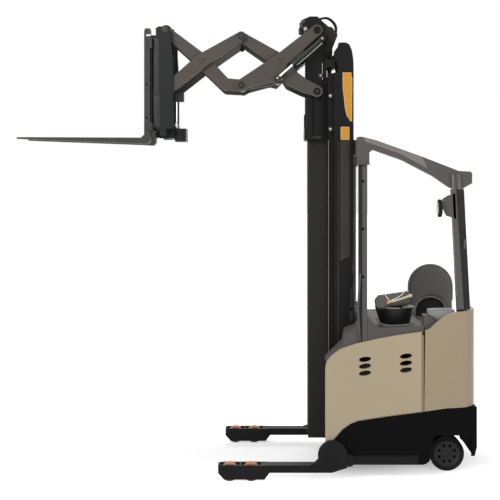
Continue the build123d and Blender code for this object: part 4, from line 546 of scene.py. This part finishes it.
# Rollers and edges of the mast rails: the edges are light strips, a painted highlight
ROLLER_PIN_Z = (2.832, 2.579)
BOSS_X, BOSS_R, ROLLER_PIN_X, ROLLER_PIN_R, ROLLER_OUT = 0.676, 0.021, 0.672, 0.0095, 0.003
LIT_EDGE_X, LIT_EDGE_Z, LIT_EDGE_THICK = (0.6555, 0.6605), (0.2, 2.49), 0.0015
RIB_X, RIB_Z, RIB_THICK = (0.7275, 0.7355), (0.3, 2.49), 0.002
for side, tag in SIDES:
    clamp = Kit("head_clamp_" + tag, GUARD, "reach_carriage")
    clamp.tube([(x, side * CLAMP_Y, z) for x, z in CLAMP_PATH], CLAMP_R)
    clamp.done()
    heads = Kit("head_pin_" + tag, STEEL, "reach_carriage")
    bosses = Kit("web_bosses_" + tag, BARREL, "reach_carriage")
    for x, z, pin_r, pin_out, boss_r in WEB_PINS:
        cap(heads, x, z, side * WEB_PIN_FACE, pin_r, pin_out)
        cap(bosses, x, z, side * WEB_PIN_FACE, boss_r, BOSS_OUT)
    heads.done()
    bosses.box(*FOOT_X, *span(side * WEB_FACE, FOOT_THICK), *FOOT_Z, FOOT_EDGE)
    bosses.done()
    # Bright strip down the web: painted highlight line
    strip = Kit("highlight_strip_" + tag, STEEL, "reach_carriage")
    strip.box(*STRIP_X, *span(side * WEB_FACE, STRIP_THICK), *STRIP_Z, STRIP_EDGE)
    strip.done()
    shoes = Kit("roller_bosses_" + tag, BARREL, "mast_middle")
    dots = Kit("roller_pins_" + tag, STEEL, "mast_middle")
    for z in ROLLER_PIN_Z:
        cap(shoes, BOSS_X, z, side * MIDDLE_MAST_FACE, BOSS_R, ROLLER_OUT)
        cap(dots, ROLLER_PIN_X, z, side * (MIDDLE_MAST_FACE + ROLLER_OUT), ROLLER_PIN_R, ROLLER_OUT)
    shoes.done()
    dots.done()
    # Light strips on the rail edges: painted highlight
    lines = Kit("mast_lit_edges_" + tag, MAST_HIGHLIGHT, "mast_middle")
    lines.box(*LIT_EDGE_X, *span(side * MIDDLE_MAST_FACE, LIT_EDGE_THICK), *LIT_EDGE_Z, edge=0.0006)
    lines.done()
    lines = Kit("mast_ribs_" + tag, MAST_GREY)
    lines.box(*RIB_X, *span(side * MAST_FACE, RIB_THICK), *RIB_Z, edge=0.0008)
    lines.done()

# Hoses over the carriage head: X, further X of the widest loop, Z
HOSE_PATH = (
    (0.575, 0.0, 3.44), (0.64, 0.02, 3.452), (0.69, 0.03, 3.4), (0.7, 0.025, 3.33),
    (0.673, 0.02, 3.24), (0.655, 0.0, 3.16), (0.648, 0.0, 3.13),
)
HOSE_FIRST_Y, HOSE_STEP, HOSE_TIGHTENING = -0.054, 0.018, 6
HOSE_RADII = (0.0075, 0.0075, 0.006)
HOSE_END, HOSE_END_R = ((0.553, 3.436), (0.578, 3.441)), 0.0085
hoses = Kit("carriage_hoses", HOSE, "reach_carriage")
ends = Kit("hose_ends", STEEL, "reach_carriage")
for i, r in enumerate(HOSE_RADII):
    y = HOSE_FIRST_Y + i * HOSE_STEP
    widest = 1 - HOSE_TIGHTENING * i * HOSE_STEP
    hoses.tube([(x + widest * further, y, z) for x, further, z in HOSE_PATH], r)
    ends.tube([(x, y, z) for x, z in HOSE_END], HOSE_END_R)
hoses.done()
ends.done()

# Guard: painted highlight on the face of the sloping beam, painted shade in the channel of the posts,
# bolt heads
BEAM_FACE = [
    (0.893, 2.502), (0.912, 2.468), (0.985, 2.443), (1.16, 2.382), (1.365, 2.272), (1.325, 2.357),
    (1.0, 2.473),
]
POST_Z = (0.99, 2.298)
CHANNEL_X, CHANNEL_THICK = (0.8625, 0.888), 0.002
POST_RIB_X, POST_RIB_THICK = (0.888, 0.9235), 0.006
POST_HOLE_X, POST_HOLE_Z, POST_HOLE_R = 0.8935, (2.181, 1.832, 1.483), 0.0095
HOLE_OUT = 0.0006
LIP_X, LIP_Z, LIP_THICK = (0.846, 0.941), (2.302, 2.312), 0.004
GUARD_BOLT_X, GUARD_BOLT_Z, GUARD_BOLT_R = (0.868, 0.92), 2.33, 0.006
face = Kit("beam_face_left", GUARD_LIGHT)
face.plate(BEAM_FACE, *span(-GUARD_FACE, 0.002), edge=0.001)
face.done()
for side, tag in SIDES:
    # Dark strip in the post's channel: painted shade
    post = Kit("post_channel_shade_" + tag, GUARD_SHADE)
    post.box(*CHANNEL_X, *span(side * POST_FACE, CHANNEL_THICK), *POST_Z, edge=0.001)
    post.done()
    post = Kit("post_rib_" + tag, GUARD)
    post.box(*POST_RIB_X, *span(side * POST_FACE, POST_RIB_THICK), *POST_Z, edge=0.003)
    post.done()
    # Dark discs for the holes in the post: painted shade
    holes = Kit("post_holes_" + tag, DARK)
    for z in POST_HOLE_Z:
        cap(holes, POST_HOLE_X, z, side * (POST_FACE + POST_RIB_THICK), POST_HOLE_R, HOLE_OUT)
    holes.done()
    lip = Kit("bracket_lip_" + tag, GUARD)
    lip.box(*LIP_X, *span(side * GUARD_FACE, LIP_THICK), *LIP_Z, edge=0.0015)
    lip.done()
    heads = Kit("guard_bolts_" + tag, GUARD)
    for x in GUARD_BOLT_X:
        heads.bolt(x, side * GUARD_FACE, GUARD_BOLT_Z, GUARD_BOLT_R)
    heads.done()

# Rear post: raised flange, painted shade in its channel and painted highlights on its edges. Its front
# and back edge at two heights: Z, X, X
POST_LOW = (1.246, 1.58, 1.673)
POST_HIGH = (2.124, 1.537, 1.627)
# Piece, material, then plates: offset from the face, thickness, edge,
# corners as Z and share of the width
REAR_POST_PLATES = (
    ("rear_post_flange", GUARD, (
        (0.0, 0.006, 0.0025, ((1.25, 0.0), (2.236, 0.02), (2.236, 0.34), (1.25, 0.5))),
    )),
    # Dark plates in the rear post's channel: painted shade
    ("rear_post_channel_shade", GUARD_SHADE, (
        (0.0, 0.002, 0.001, ((1.25, 0.5), (2.12, 0.36), (2.12, 0.96), (1.25, 0.99))),
        (0.002, 0.002, 0.001, ((1.25, 0.68), (1.82, 0.62), (1.82, 0.74), (1.25, 0.8))),
    )),
    ("rear_post_lit_edges", GUARD_LIGHT, (
        (0.006, 0.001, 0.0, ((2.12, 0.05), (2.232, 0.07), (2.232, 0.2), (2.12, 0.16))),
        (0.0, 0.003, 0.001, ((2.12, 0.56), (2.232, 0.6), (2.232, 0.7), (2.12, 0.68))),
    )),
)
LATCH_Z, LATCH_MID_Z, LATCH_SHARE = (1.69, 1.76), 1.72, (0.72, 0.9)
LATCH_OFFSET, LATCH_THICK = 0.002, 0.012


def post_x(z, share):
    """X at this height and share of the rear post's width."""
    t = (z - POST_LOW[0]) / (POST_HIGH[0] - POST_LOW[0])
    front = POST_LOW[1] + (POST_HIGH[1] - POST_LOW[1]) * t
    back = POST_LOW[2] + (POST_HIGH[2] - POST_LOW[2]) * t
    return front + (back - front) * share


for name, mat, plates in REAR_POST_PLATES:
    trim = Kit(name, mat)
    for offset, thick, edge, corners in plates:
        outline = [(post_x(z, share), z) for z, share in corners]
        trim.plate(outline, *span(-REAR_POST_FACE - offset, thick), edge=edge)
    trim.done()
latch = Kit("rear_post_latch", GUARD)
latch_x = [post_x(LATCH_MID_Z, share) for share in LATCH_SHARE]
latch.box(*latch_x, *span(-REAR_POST_FACE - LATCH_OFFSET, LATCH_THICK), *LATCH_Z, edge=0.004)
latch.done()

# Mirror: glass tinted with a painted reflection, and rim, as radius and height
MIRROR_PLACE = (1.4395, -0.589, 1.984)
GLASS_PROFILE = [(0.056, 0), (0.04, -0.004), (0.02, -0.006), (0, -0.0065)]
RIM_PROFILE = [
    (0.058, -0.003), (0.064, -0.001), (0.066, 0.006), (0.064, 0.018),
    (0.058, 0.022), (0.052, 0.022), (0.052, 0.004), (0.056, -0.001),
]
glass = Kit("mirror_glass", MIRROR)
glass.lathe(GLASS_PROFILE, MIRROR_PLACE, "X", steps=40)
glass.done()
rim = Kit("mirror_rim", RUBBER)
rim.lathe(RIM_PROFILE, MIRROR_PLACE, "X", steps=48)
rim.done()


def arc(first, last, step):
    """Angles from the first to the last, in radians from whole degrees."""
    return [math.radians(k) for k in range(first, last, step)]


# Control console: rim, lip, lever, roll end, collar, straps and keys
BOWL_X, BOWL_Y, BOWL_RIM_Z, BOWL_RIM_R, RIM_WIRE_R = 1.15, -0.33, 1.2425, 0.1485, 0.0028
LIP_PATH = [(1.004, -0.4, 1.16), (1.03, -0.43, 1.128), (1.09, -0.47, 1.113), (1.2, -0.47, 1.117),
            (1.26, -0.45, 1.121)]
LIP_R = 0.006
LEVER_PATH = [(1.092, -0.482, 1.291), (1.13, -0.488, 1.298), (1.19, -0.488, 1.317),
              (1.247, -0.484, 1.335)]
LEVER_R = 0.0088
LEVER_TIP = (1.249, -0.484, 1.336)
TIP_PROFILE = [(0.004, -0.014), (0.011, -0.01), (0.013, 0), (0.011, 0.01), (0.004, 0.014)]
ROLL_END = (1.035, -0.462, 1.289)
ROLL_END_PROFILE = [(0.046, -0.01), (0.049, -0.004), (0.049, 0.004), (0.045, 0.009), (0.03, 0.0115),
                    (0, 0.012)]
COLLAR = (1.085, -0.474, 1.284)
COLLAR_PROFILE = [(0.009, -0.016), (0.014, -0.01), (0.014, 0.008), (0.009, 0.012)]
STRAPS = (
    [(1.064, -0.455, 1.345), (1.075, -0.47, 1.325), (1.097, -0.4775, 1.2945)],
    [(1.105, -0.479, 1.298), (1.179, -0.474, 1.335), (1.205, -0.455, 1.362), (1.222, -0.435, 1.378)],
)
STRAP_R = 0.0036
KEY_X, KEY_WIDTH, KEY_PITCH, KEY_Y, KEY_Z = 1.09, 0.03, 0.04, (-0.40, -0.37), (1.232, 1.25)
rim = Kit("console_rim", STEEL)
rim.tube([(BOWL_X + BOWL_RIM_R * math.cos(a), BOWL_Y + BOWL_RIM_R * math.sin(a), BOWL_RIM_Z)
          for a in arc(100, 281, 15)], RIM_WIRE_R)
rim.done()
lip = Kit("console_lip", GUARD_LIGHT)
lip.tube(LIP_PATH, LIP_R)
lip.done()
lever = Kit("roll_lever", CREAM)
lever.tube(LEVER_PATH, LEVER_R)
lever.lathe(TIP_PROFILE, LEVER_TIP, "X", steps=20)
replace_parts(lever.done(), "control_lever")
disc = Kit("roll_end_disc", PAD)
disc.lathe(ROLL_END_PROFILE, ROLL_END, "Y", steps=40)
disc.done()
collar = Kit("roll_collar", BRASS)
collar.lathe(COLLAR_PROFILE, COLLAR, "Y", steps=24)
collar.done()
bands = Kit("roll_bands", WHITE)
for path in STRAPS:
    bands.tube(path, STRAP_R, steps=8)
bands.done()
keys = Kit("console_keys", CONSOLE)
for i in range(3):
    x = KEY_X + KEY_PITCH * i
    keys.box(x, x + KEY_WIDTH, *KEY_Y, *KEY_Z, edge=0.004)
keys.done()

# Reach cylinders beside the arms: upper and lower pin as X and Z
RAM_TOP = (0.608, 3.262)
RAM_LOW = (0.269, 2.963)
RAM_Y = 0.262
RAM_LENGTH = math.hypot(RAM_TOP[0] - RAM_LOW[0], RAM_TOP[1] - RAM_LOW[1])
RAM_WAY = ((RAM_LOW[0] - RAM_TOP[0]) / RAM_LENGTH, (RAM_LOW[1] - RAM_TOP[1]) / RAM_LENGTH)
RAM_PIN_R, RAM_EYE_FACE, RAM_EYE_THICK = 0.0095, 0.251, 0.022
TOP_EYE_R, LOW_EYE_R = 0.024, 0.022
TOP_PIN_FACE, TOP_PIN_OUT = 0.246, 0.047
LOW_PIN_FACE, LOW_PIN_OUT = 0.2405, 0.04
ROD_END_GAP = 0.015
BARREL_ALONG, BARREL_R = (0.0, 0.15, 0.29), 0.0185
GLAND_ALONG, GLAND_R = (0.262, 0.3), 0.0215
ROD_ALONG, ROD_R = (0.21, 0.33, RAM_LENGTH - ROD_END_GAP), 0.0105
PIPE_ALONG = ((0.02, -0.02), (0.05, -0.0235), (0.25, -0.0235), (0.275, -0.018))
PIPE_R = 0.0042
# Bracket of the upper pin: X range, Y range from the middle plane, Z range
RAM_BRACKET = (
    ((0.636, 0.648), (0.16, 0.289), (3.237, 3.288)),
    ((0.598, 0.648), (0.281, 0.289), (3.239, 3.286)),
    ((0.618, 0.652), (0.15, 0.162), (3.235, 3.29)),
)


def on_ram(along, side, rise=0.0):
    """Point on the cylinder's line, this far from its upper pin."""
    ux, uz = RAM_WAY
    return (RAM_TOP[0] + along * ux + rise * uz, side * RAM_Y, RAM_TOP[1] + along * uz - rise * ux)


for side, tag in SIDES:
    hold = Kit("ram_bracket_" + tag, MAST, "reach_carriage")
    for x_range, y_range, z_range in RAM_BRACKET:
        hold.box(*x_range, *sorted(side * y for y in y_range), *z_range, edge=0.003)
    hold.done()
    pins = Kit("ram_top_pin_" + tag, STEEL, "reach_carriage")
    pin(pins, *RAM_TOP, side * TOP_PIN_FACE, RAM_PIN_R, TOP_PIN_OUT)
    pins.done()
    barrel = Kit("ram_barrel_" + tag, BARREL, "reach_barrels")
    barrel.tube([on_ram(along, side) for along in BARREL_ALONG], BARREL_R, steps=28)
    barrel.tube([on_ram(along, side) for along in GLAND_ALONG], GLAND_R, steps=28)
    pin(barrel, *RAM_TOP, side * RAM_EYE_FACE, TOP_EYE_R, RAM_EYE_THICK)
    barrel.done()
    pipe = Kit("ram_pipe_" + tag, STEEL, "reach_barrels")
    pipe.tube([on_ram(along, side, rise) for along, rise in PIPE_ALONG], PIPE_R)
    pipe.done()
    rod = Kit("ram_rod_" + tag, CHROME, "reach_rods")
    rod.tube([on_ram(along, side) for along in ROD_ALONG], ROD_R, steps=20)
    rod.done()
    eye = Kit("ram_eye_" + tag, BARREL, "reach_rods")
    pin(eye, *RAM_LOW, side * RAM_EYE_FACE, LOW_EYE_R, RAM_EYE_THICK)
    eye.done()
    pins = Kit("ram_low_pin_" + tag, STEEL, "arm_rear_outer")
    pin(pins, *RAM_LOW, side * LOW_PIN_FACE, RAM_PIN_R, LOW_PIN_OUT)
    pins.done()

# Fork carrier: lighter bands on the front bevels that paint a highlight, as X and Z ranges; pin heads,
# pipe and hose to the valve
LIT_BEVEL_BANDS = (((-0.6705, -0.631), (2.836, 3.268)), ((-0.6705, -0.6245), (2.5925, 2.829)))
BEVEL_THICK = 0.0014
CARRIER_PIN_R, CARRIER_PIN_OUT = 0.026, 0.008
PIPE_PATH = [(-0.512, -0.151, 2.792), (-0.512, -0.151, 2.7), (-0.512, -0.15, 2.63),
             (-0.51, -0.13, 2.6), (-0.505, -0.078, 2.575)]
CARRIER_PIPE_R = 0.0125
CARRIER_HOSE_PATH = [(-0.514, -0.174, 2.792), (-0.513, -0.174, 2.73), (-0.513, -0.168, 2.66),
                     (-0.511, -0.13, 2.585), (-0.508, -0.078, 2.545)]
CARRIER_HOSE_R = 0.0055
for side, tag in SIDES:
    # Lighter bands on the front bevels: painted highlight
    bevel = Kit("carrier_bevel_highlight_" + tag, CARRIER_HIGHLIGHT, "fork_carrier")
    for x_range, z_range in LIT_BEVEL_BANDS:
        bevel.box(*x_range, *span(side * CARRIER_FACE, BEVEL_THICK), *z_range, edge=0.0006)
    bevel.done()
    heads = Kit("carrier_pin_" + tag, FORK, "fork_carrier")
    cap(heads, *PIVOTS["front_top"], side * CARRIER_FACE, CARRIER_PIN_R, CARRIER_PIN_OUT)
    heads.done()
pipe = Kit("carrier_pipe", CHROME, "fork_carrier")
pipe.tube(PIPE_PATH, CARRIER_PIPE_R, steps=20)
pipe.done()
hose = Kit("carrier_hose", HOSE, "fork_carrier")
hose.tube(CARRIER_HOSE_PATH, CARRIER_HOSE_R)
hose.done()

# Forks: white band, and dark discs for the locating holes of each shank that paint the shade inside
# them
BAND_X, BAND_Z = (-0.731, -0.694), (3.2855, 3.2995)
SHANK_HOLE_X, SHANK_HOLE_Z, SHANK_HOLE_R = -0.7265, (2.9175, 2.665), 0.008
for side, tag in SIDES:
    band = Kit("fork_band_" + tag, WHITE, "fork_shift")
    band.box(*BAND_X, *span(side * FORK_FACE, HOLE_OUT), *BAND_Z, edge=0)
    band.done(smooth=False)
    # Dark discs for the holes: painted shade
    spots = Kit("fork_holes_" + tag, DARK, "fork_shift")
    for z in SHANK_HOLE_Z:
        cap(spots, SHANK_HOLE_X, z, side * FORK_FACE, SHANK_HOLE_R, HOLE_OUT)
    spots.done()

# Valve: cover plate and hose ends on its top and side
VALVE_COVER = (-0.522, -0.496, -0.075, 0.02, 2.5895, 2.608)
TOP_END_PROFILE = [(0.01, 0), (0.01, 0.012), (0.007, 0.016), (0.007, 0.024), (0.004, 0.026)]
TOP_END_Y = (-0.055, -0.02)
SIDE_END_PROFILE = [(0.011, 0), (0.011, 0.01), (0.007, 0.014), (0.007, 0.022), (0.003, 0.024)]
SIDE_END_Z = (2.505, 2.535, 2.565)
TOP_END_X, TOP_END_Z = -0.51, 2.606
SIDE_END_X, SIDE_END_Y = -0.465, -0.08
fittings = Kit("valve_fittings", CONSOLE, "fork_carrier")
fittings.box(*VALVE_COVER, edge=0.005)
for y in TOP_END_Y:
    fittings.lathe(TOP_END_PROFILE, (TOP_END_X, y, TOP_END_Z), "Z", steps=18)
for z in SIDE_END_Z:
    fittings.lathe(SIDE_END_PROFILE, (SIDE_END_X, SIDE_END_Y, z), "Y", steps=18)
fittings.done()

# Dark sheet behind the vents, between the side panel and the cover: painted shade seen through the
# vents
VENT_X, VENT_Y, VENT_Z = (0.84, 1.28), (0.5583, 0.5597), (0.74, 0.95)
for side, tag in SIDES:
    # Dark sheet seen through the vents: painted shade
    vent_shade = Kit("vent_recess_" + tag, DARK)
    vent_shade.box(*VENT_X, *sorted(side * y for y in VENT_Y), *VENT_Z, edge=0.0004)
    vent_shade.done()

# Drive wheel: pressed disc with its ring of holes on both faces, the holes as dark discs of painted
# shade
WHEEL_X, WHEEL_Z, HOLE_RING_R, HOLE_COUNT = 1.544, 0.13, 0.062, 8
WHEEL_HOLE_R, DISC_THICK, HOLE_STEP = 0.0105, 0.003, 0.0031
DISC_R, DISC_EDGE_R, DISC_HUB_R, DISC_HOLLOW_R = 0.099, 0.097, 0.036, 0.032
# Name, Y of the face, sign of the lathe's height that leads out of it
WHEEL_FACES = (("outer", -0.325, 1), ("inner", -0.215, -1))
for tag, y, out in WHEEL_FACES:
    disc = Kit("drive_disc_" + tag, DISC, "drive_wheel")
    step = out * DISC_THICK
    hollow = step / 3
    profile = [
        (DISC_R, 0), (DISC_EDGE_R, step), (DISC_HUB_R, step), (DISC_HOLLOW_R, hollow), (0, hollow),
    ]
    disc.lathe(profile, (WHEEL_X, y, WHEEL_Z), "Y", steps=48)
    disc.done()
    # Dark discs for the holes of the disc: painted shade
    holes = Kit("drive_holes_" + tag, DARK, "drive_wheel")
    for k in range(HOLE_COUNT):
        a = 2 * math.pi * (k + 0.5) / HOLE_COUNT
        x = WHEEL_X + HOLE_RING_R * math.cos(a)
        z = WHEEL_Z + HOLE_RING_R * math.sin(a)
        profile = [(WHEEL_HOLE_R, 0), (WHEEL_HOLE_R, out * HOLE_OUT)]
        holes.lathe(profile, (x, y - out * HOLE_STEP, z), "Y", steps=20)
    holes.done()

# Panels: strip in the seam, aprons before and behind the drive wheel, as X and Z
SEAM_X, SEAM_Y, SEAM_Z = (1.3245, 1.3335), (0.561, 0.582), (0.5, 1.06)
SKIRT_APRON = [
    (1.3, 0.112), (1.35, 0.113), (1.38, 0.135), (1.388, 0.2), (1.405, 0.28), (1.43, 0.34),
    (1.43, 0.42), (1.3, 0.42),
]
REAR_APRON = [(1.6, 0.3), (1.64, 0.268), (1.668, 0.232), (1.696, 0.3), (1.696, 0.42), (1.6, 0.42)]
APRONS = (
    ("skirt_apron", SKIRT_APRON, (-0.566, -0.5605)),
    ("rear_apron", REAR_APRON, (-0.5585, -0.553)),
)
for side, tag in SIDES:
    # Seam strip in the darker beige: painted shade
    seam = Kit("panel_seam_" + tag, BEIGE_SHADED)
    seam.box(*SEAM_X, *sorted(side * y for y in SEAM_Y), *SEAM_Z, edge=0.002)
    seam.done()
for name, shape, y_range in APRONS:
    apron = Kit(name, SKIRT)
    apron.plate(shape, *y_range)
    apron.done()

# Conduit down the left front post, and the junction box with its cables beside the mast
CONDUIT_PATH = [(0.874, -0.56, 1.5), (0.8714, -0.569, 1.474), (0.858, -0.571, 1.263),
                (0.8677, -0.568, 1.06), (0.875, -0.557, 0.99)]
CONDUIT_R = 0.008
BOX_Y = -0.2355
JUNCTION_BOXES = ((0.815, 0.858, -0.285, BOX_Y, 1.09, 1.2), (0.82, 0.85, -0.275, BOX_Y, 1.22, 1.37))
CABLES = (
    [(0.835, -0.262, 1.2), (0.856, -0.266, 1.21), (0.84, -0.262, 1.225)],
    [(0.84, -0.26, 1.37), (0.848, -0.262, 1.45), (0.84, -0.25, 1.52), (0.838, -0.238, 1.56)],
)
CABLE_R = 0.006
conduit = Kit("post_conduit", GUARD)
conduit.tube(CONDUIT_PATH, CONDUIT_R, steps=14)
conduit.done()
box = Kit("mast_junction_box", CONSOLE)
for limits in JUNCTION_BOXES:
    box.box(*limits, edge=0.006)
for path in CABLES:
    box.tube(path, CABLE_R)
box.done()


# Cushions: each solid's own shape, blown up with cloth
CLOTH_FRAMES = 20
CLOTH_PRESSURE = 4
SMOOTH_FACTOR = 0.5


def bake(piece):
    """Applies the piece's modifiers."""
    mesh = bpy.data.meshes.new_from_object(piece.evaluated_get(bpy.context.evaluated_depsgraph_get()))
    piece.modifiers.clear()
    piece.data = mesh


def squeezed(node, squeeze, lean):
    """Copy of a solid's mesh in place, drawn in by this much along each axis and sheared up with X."""
    mesh = NODES[node].data.copy()
    mesh.transform(NODES[node].matrix_world)
    low = [min(v.co[i] for v in mesh.vertices) for i in range(3)]
    high = [max(v.co[i] for v in mesh.vertices) for i in range(3)]
    middle = [(a + b) / 2 for a, b in zip(low, high)]
    for v in mesh.vertices:
        for i in range(3):
            half = (high[i] - low[i]) / 2
            v.co[i] = middle[i] + (v.co[i] - middle[i]) * (1 - squeeze[i] / half)
        v.co.z += lean * (v.co.x - middle[0])
    return mesh


def blow(piece, reach):
    """Cloth under pressure, where no point moves further than reach."""
    start = [v.co.copy() for v in piece.data.vertices]
    cloth = piece.modifiers.new("blow", "CLOTH")
    cloth.settings.use_pressure = True
    cloth.settings.uniform_pressure_force = CLOTH_PRESSURE
    cloth.settings.effector_weights.gravity = 0
    cloth.collision_settings.use_collision = False
    for frame_number in range(1, CLOTH_FRAMES + 1):
        bpy.context.scene.frame_set(frame_number)
    bake(piece)
    bpy.context.scene.frame_set(1)
    for v, home in zip(piece.data.vertices, start):
        move = v.co - home
        if move.length > reach:
            v.co = home + move.normalized() * reach


def cushion(name, node, mat, squeeze, reach, lean=0.0, voxel=0.006, soften=6, stop=None):
    """Padded piece that stands for a solid. stop is the axis, place and sign of a flat side."""
    piece = bpy.data.objects.new(name, squeezed(node, squeeze, lean))
    bpy.context.scene.collection.objects.link(piece)
    even = piece.modifiers.new("even", "REMESH")
    even.mode = "VOXEL"
    even.voxel_size = voxel
    soft = piece.modifiers.new("soft", "SMOOTH")
    soft.factor = SMOOTH_FACTOR
    soft.iterations = soften
    bake(piece)
    blow(piece, reach)
    if stop:
        axis, place, sign = stop
        for v in piece.data.vertices:
            if sign * v.co[axis] > sign * place:
                v.co[axis] = place
    round_off = piece.modifiers.new("round", "SUBSURF")
    round_off.levels = 1
    round_off.render_levels = 1
    bake(piece)
    piece.data.materials.clear()
    piece.data.materials.append(mat)
    for f in piece.data.polygons:
        f.use_smooth = True
    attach(piece, "chassis")
    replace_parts(piece, node)


cushion("backrest_cushion", "backrest", PAD, (-0.003, 0.006, -0.003), reach=0.012,
        soften=5, stop=(1, 0.4895, 1))
cushion("arm_rest_cushion", "armrest_pad", REST, (0.001, 0.003, 0.001), reach=0.01,
        voxel=0.005, soften=5, stop=(2, 1.1485, -1))
cushion("control_roll_cushion", "control_roll", PAD, (-0.018, -0.002, -0.003), reach=0.008,
        lean=0.14, voxel=0.005)

# Welts around the backrest and its arch, lighter than the leather: piping with a painted highlight
BACK_MID_X, WELT_Y = 1.531, 0.436
BACK_ARC_Z, BACK_WELT_RING, BACK_WELT_R = 1.312, 0.181, 0.0065
BACK_LEFT_Z, BACK_RIGHT_Z = (1.07, 1.2), (1.2,)
ARCH_Z, ARCH_WELT_RING, ARCH_WELT_R = 1.092, 0.135, 0.005


def arch(z, r):
    """Half circle around the middle of the backrest, from its left to its right."""
    return [(BACK_MID_X + r * math.cos(a), WELT_Y, z + r * math.sin(a)) for a in arc(180, -1, -15)]


welt = Kit("backrest_welt", WELT)
left = [(BACK_MID_X - BACK_WELT_RING, WELT_Y, z) for z in BACK_LEFT_Z]
right = [(BACK_MID_X + BACK_WELT_RING, WELT_Y, z) for z in BACK_RIGHT_Z]
welt.tube(left + arch(BACK_ARC_Z, BACK_WELT_RING) + right, BACK_WELT_R)
welt.tube(arch(ARCH_Z, ARCH_WELT_RING), ARCH_WELT_R)
welt.done()

# Camera at the photograph's place
CAMERA_PLACE = (0.253, -8.255, 2.19)
CAMERA_LENS, SENSOR_WIDTH = 75.8, 36
CAMERA_SHIFT = (-0.0508, -0.14)
CLIP_END = 200
camera = bpy.data.objects.new("camera", bpy.data.cameras.new("camera"))
bpy.context.scene.collection.objects.link(camera)
camera.location = CAMERA_PLACE
camera.rotation_euler = (math.radians(90), 0, 0)
camera.data.sensor_width = SENSOR_WIDTH
camera.data.lens = CAMERA_LENS
camera.data.shift_x, camera.data.shift_y = CAMERA_SHIFT
camera.data.clip_end = CLIP_END
bpy.context.scene.camera = camera

# White floor: it glows more away from the middle and less under the truck, which paints a shadow there
# on top of the floor's own shadow
FLOOR_HALF = 60
FLOOR_GREY, WHITE_LIGHT = (0.72, 0.72, 0.72, 1), (1, 1, 1, 1)
SHADOW_SQUEEZE, SHADOW_MIDDLE = (0.45, 1.5, 1), (0.18, 0.12, 0)
SHADOW_FROM, SHADOW_TO = 0.5, 1.15
GLOW_FROM, GLOW_TO = 0.36, 1.0


def seen_directly(tree):
    """One for rays from the camera, a mirror or glass."""
    light_path = tree.nodes.new("ShaderNodeLightPath")
    total = light_path.outputs["Is Camera Ray"]
    for other in ("Is Glossy Ray", "Is Transmission Ray"):
        larger = tree.nodes.new("ShaderNodeMath")
        larger.operation = "MAXIMUM"
        tree.links.new(total, larger.inputs[0])
        tree.links.new(light_path.outputs[other], larger.inputs[1])
        total = larger.outputs[0]
    return total


def vector_node(tree, operation, source, value):
    made = tree.nodes.new("ShaderNodeVectorMath")
    made.operation = operation
    made.inputs[1].default_value = value
    tree.links.new(source, made.inputs[0])
    return made


def floor_material():
    made = bpy.data.materials.new("floor")
    made.use_nodes = True
    tree = made.node_tree
    tree.nodes.clear()
    out = tree.nodes.new("ShaderNodeOutputMaterial")
    diffuse = tree.nodes.new("ShaderNodeBsdfDiffuse")
    diffuse.inputs["Color"].default_value = FLOOR_GREY
    glow = tree.nodes.new("ShaderNodeEmission")
    glow.inputs["Color"].default_value = WHITE_LIGHT
    ground = tree.nodes.new("ShaderNodeNewGeometry")
    narrow = vector_node(tree, "MULTIPLY", ground.outputs["Position"], SHADOW_SQUEEZE)
    away = vector_node(tree, "DISTANCE", narrow.outputs["Vector"], SHADOW_MIDDLE)
    # Painted shadow: the glow drops toward the middle under the truck
    fade = tree.nodes.new("ShaderNodeMapRange")
    fade.inputs["From Min"].default_value = SHADOW_FROM
    fade.inputs["From Max"].default_value = SHADOW_TO
    fade.inputs["To Min"].default_value = GLOW_FROM
    fade.inputs["To Max"].default_value = GLOW_TO
    tree.links.new(away.outputs["Value"], fade.inputs["Value"])
    strength = tree.nodes.new("ShaderNodeMath")
    strength.operation = "MULTIPLY"
    tree.links.new(seen_directly(tree), strength.inputs[0])
    tree.links.new(fade.outputs[0], strength.inputs[1])
    tree.links.new(strength.outputs[0], glow.inputs["Strength"])
    add = tree.nodes.new("ShaderNodeAddShader")
    tree.links.new(diffuse.outputs[0], add.inputs[0])
    tree.links.new(glow.outputs[0], add.inputs[1])
    tree.links.new(add.outputs[0], out.inputs[0])
    return made


floor_mesh = bpy.data.meshes.new("floor")
corners = [(x * FLOOR_HALF, y * FLOOR_HALF, 0) for x, y in ((-1, -1), (1, -1), (1, 1), (-1, 1))]
floor_mesh.from_pydata(corners, [], [(0, 1, 2, 3)])
floor = bpy.data.objects.new("floor", floor_mesh)
bpy.context.scene.collection.objects.link(floor)
floor_mesh.materials.append(floor_material())

# World: white where it is seen, dimmer as a light
WORLD_LIGHT, WORLD_SEEN = 0.42, 1.0
scene = bpy.context.scene
scene.view_settings.view_transform = "Standard"
world = bpy.data.worlds.new("studio")
scene.world = world
world.use_nodes = True
tree = world.node_tree
tree.nodes.clear()
world_out = tree.nodes.new("ShaderNodeOutputWorld")
mix = tree.nodes.new("ShaderNodeMixShader")
tree.links.new(seen_directly(tree), mix.inputs[0])
for socket, strength in ((1, WORLD_LIGHT), (2, WORLD_SEEN)):
    shown = tree.nodes.new("ShaderNodeBackground")
    shown.inputs["Color"].default_value = WHITE_LIGHT
    shown.inputs["Strength"].default_value = strength
    tree.links.new(shown.outputs[0], mix.inputs[socket])
tree.links.new(mix.outputs[0], world_out.inputs[0])

# Soft lamps: name, place, aim, size, power
LAMPS = (
    ("key", (-3.5, -6.5, 6.5), (0.3, 0, 1.6), (4.0, 4.0), 420),
    ("fill", (6.5, -5.5, 3.5), (0.8, 0, 1.4), (3.5, 3.5), 150),
    ("back", (1.0, 6.0, 6.0), (0.2, 0, 1.6), (5.0, 3.0), 220),
)
for name, place, aim, size, power in LAMPS:
    light = bpy.data.lights.new(name, "AREA")
    light.shape = "RECTANGLE"
    light.size, light.size_y = size
    light.energy = power
    lamp = bpy.data.objects.new(name, light)
    lamp.location = place
    lamp.rotation_euler = (Vector(aim) - Vector(place)).to_track_quat("-Z", "Y").to_euler()
    scene.collection.objects.link(lamp)
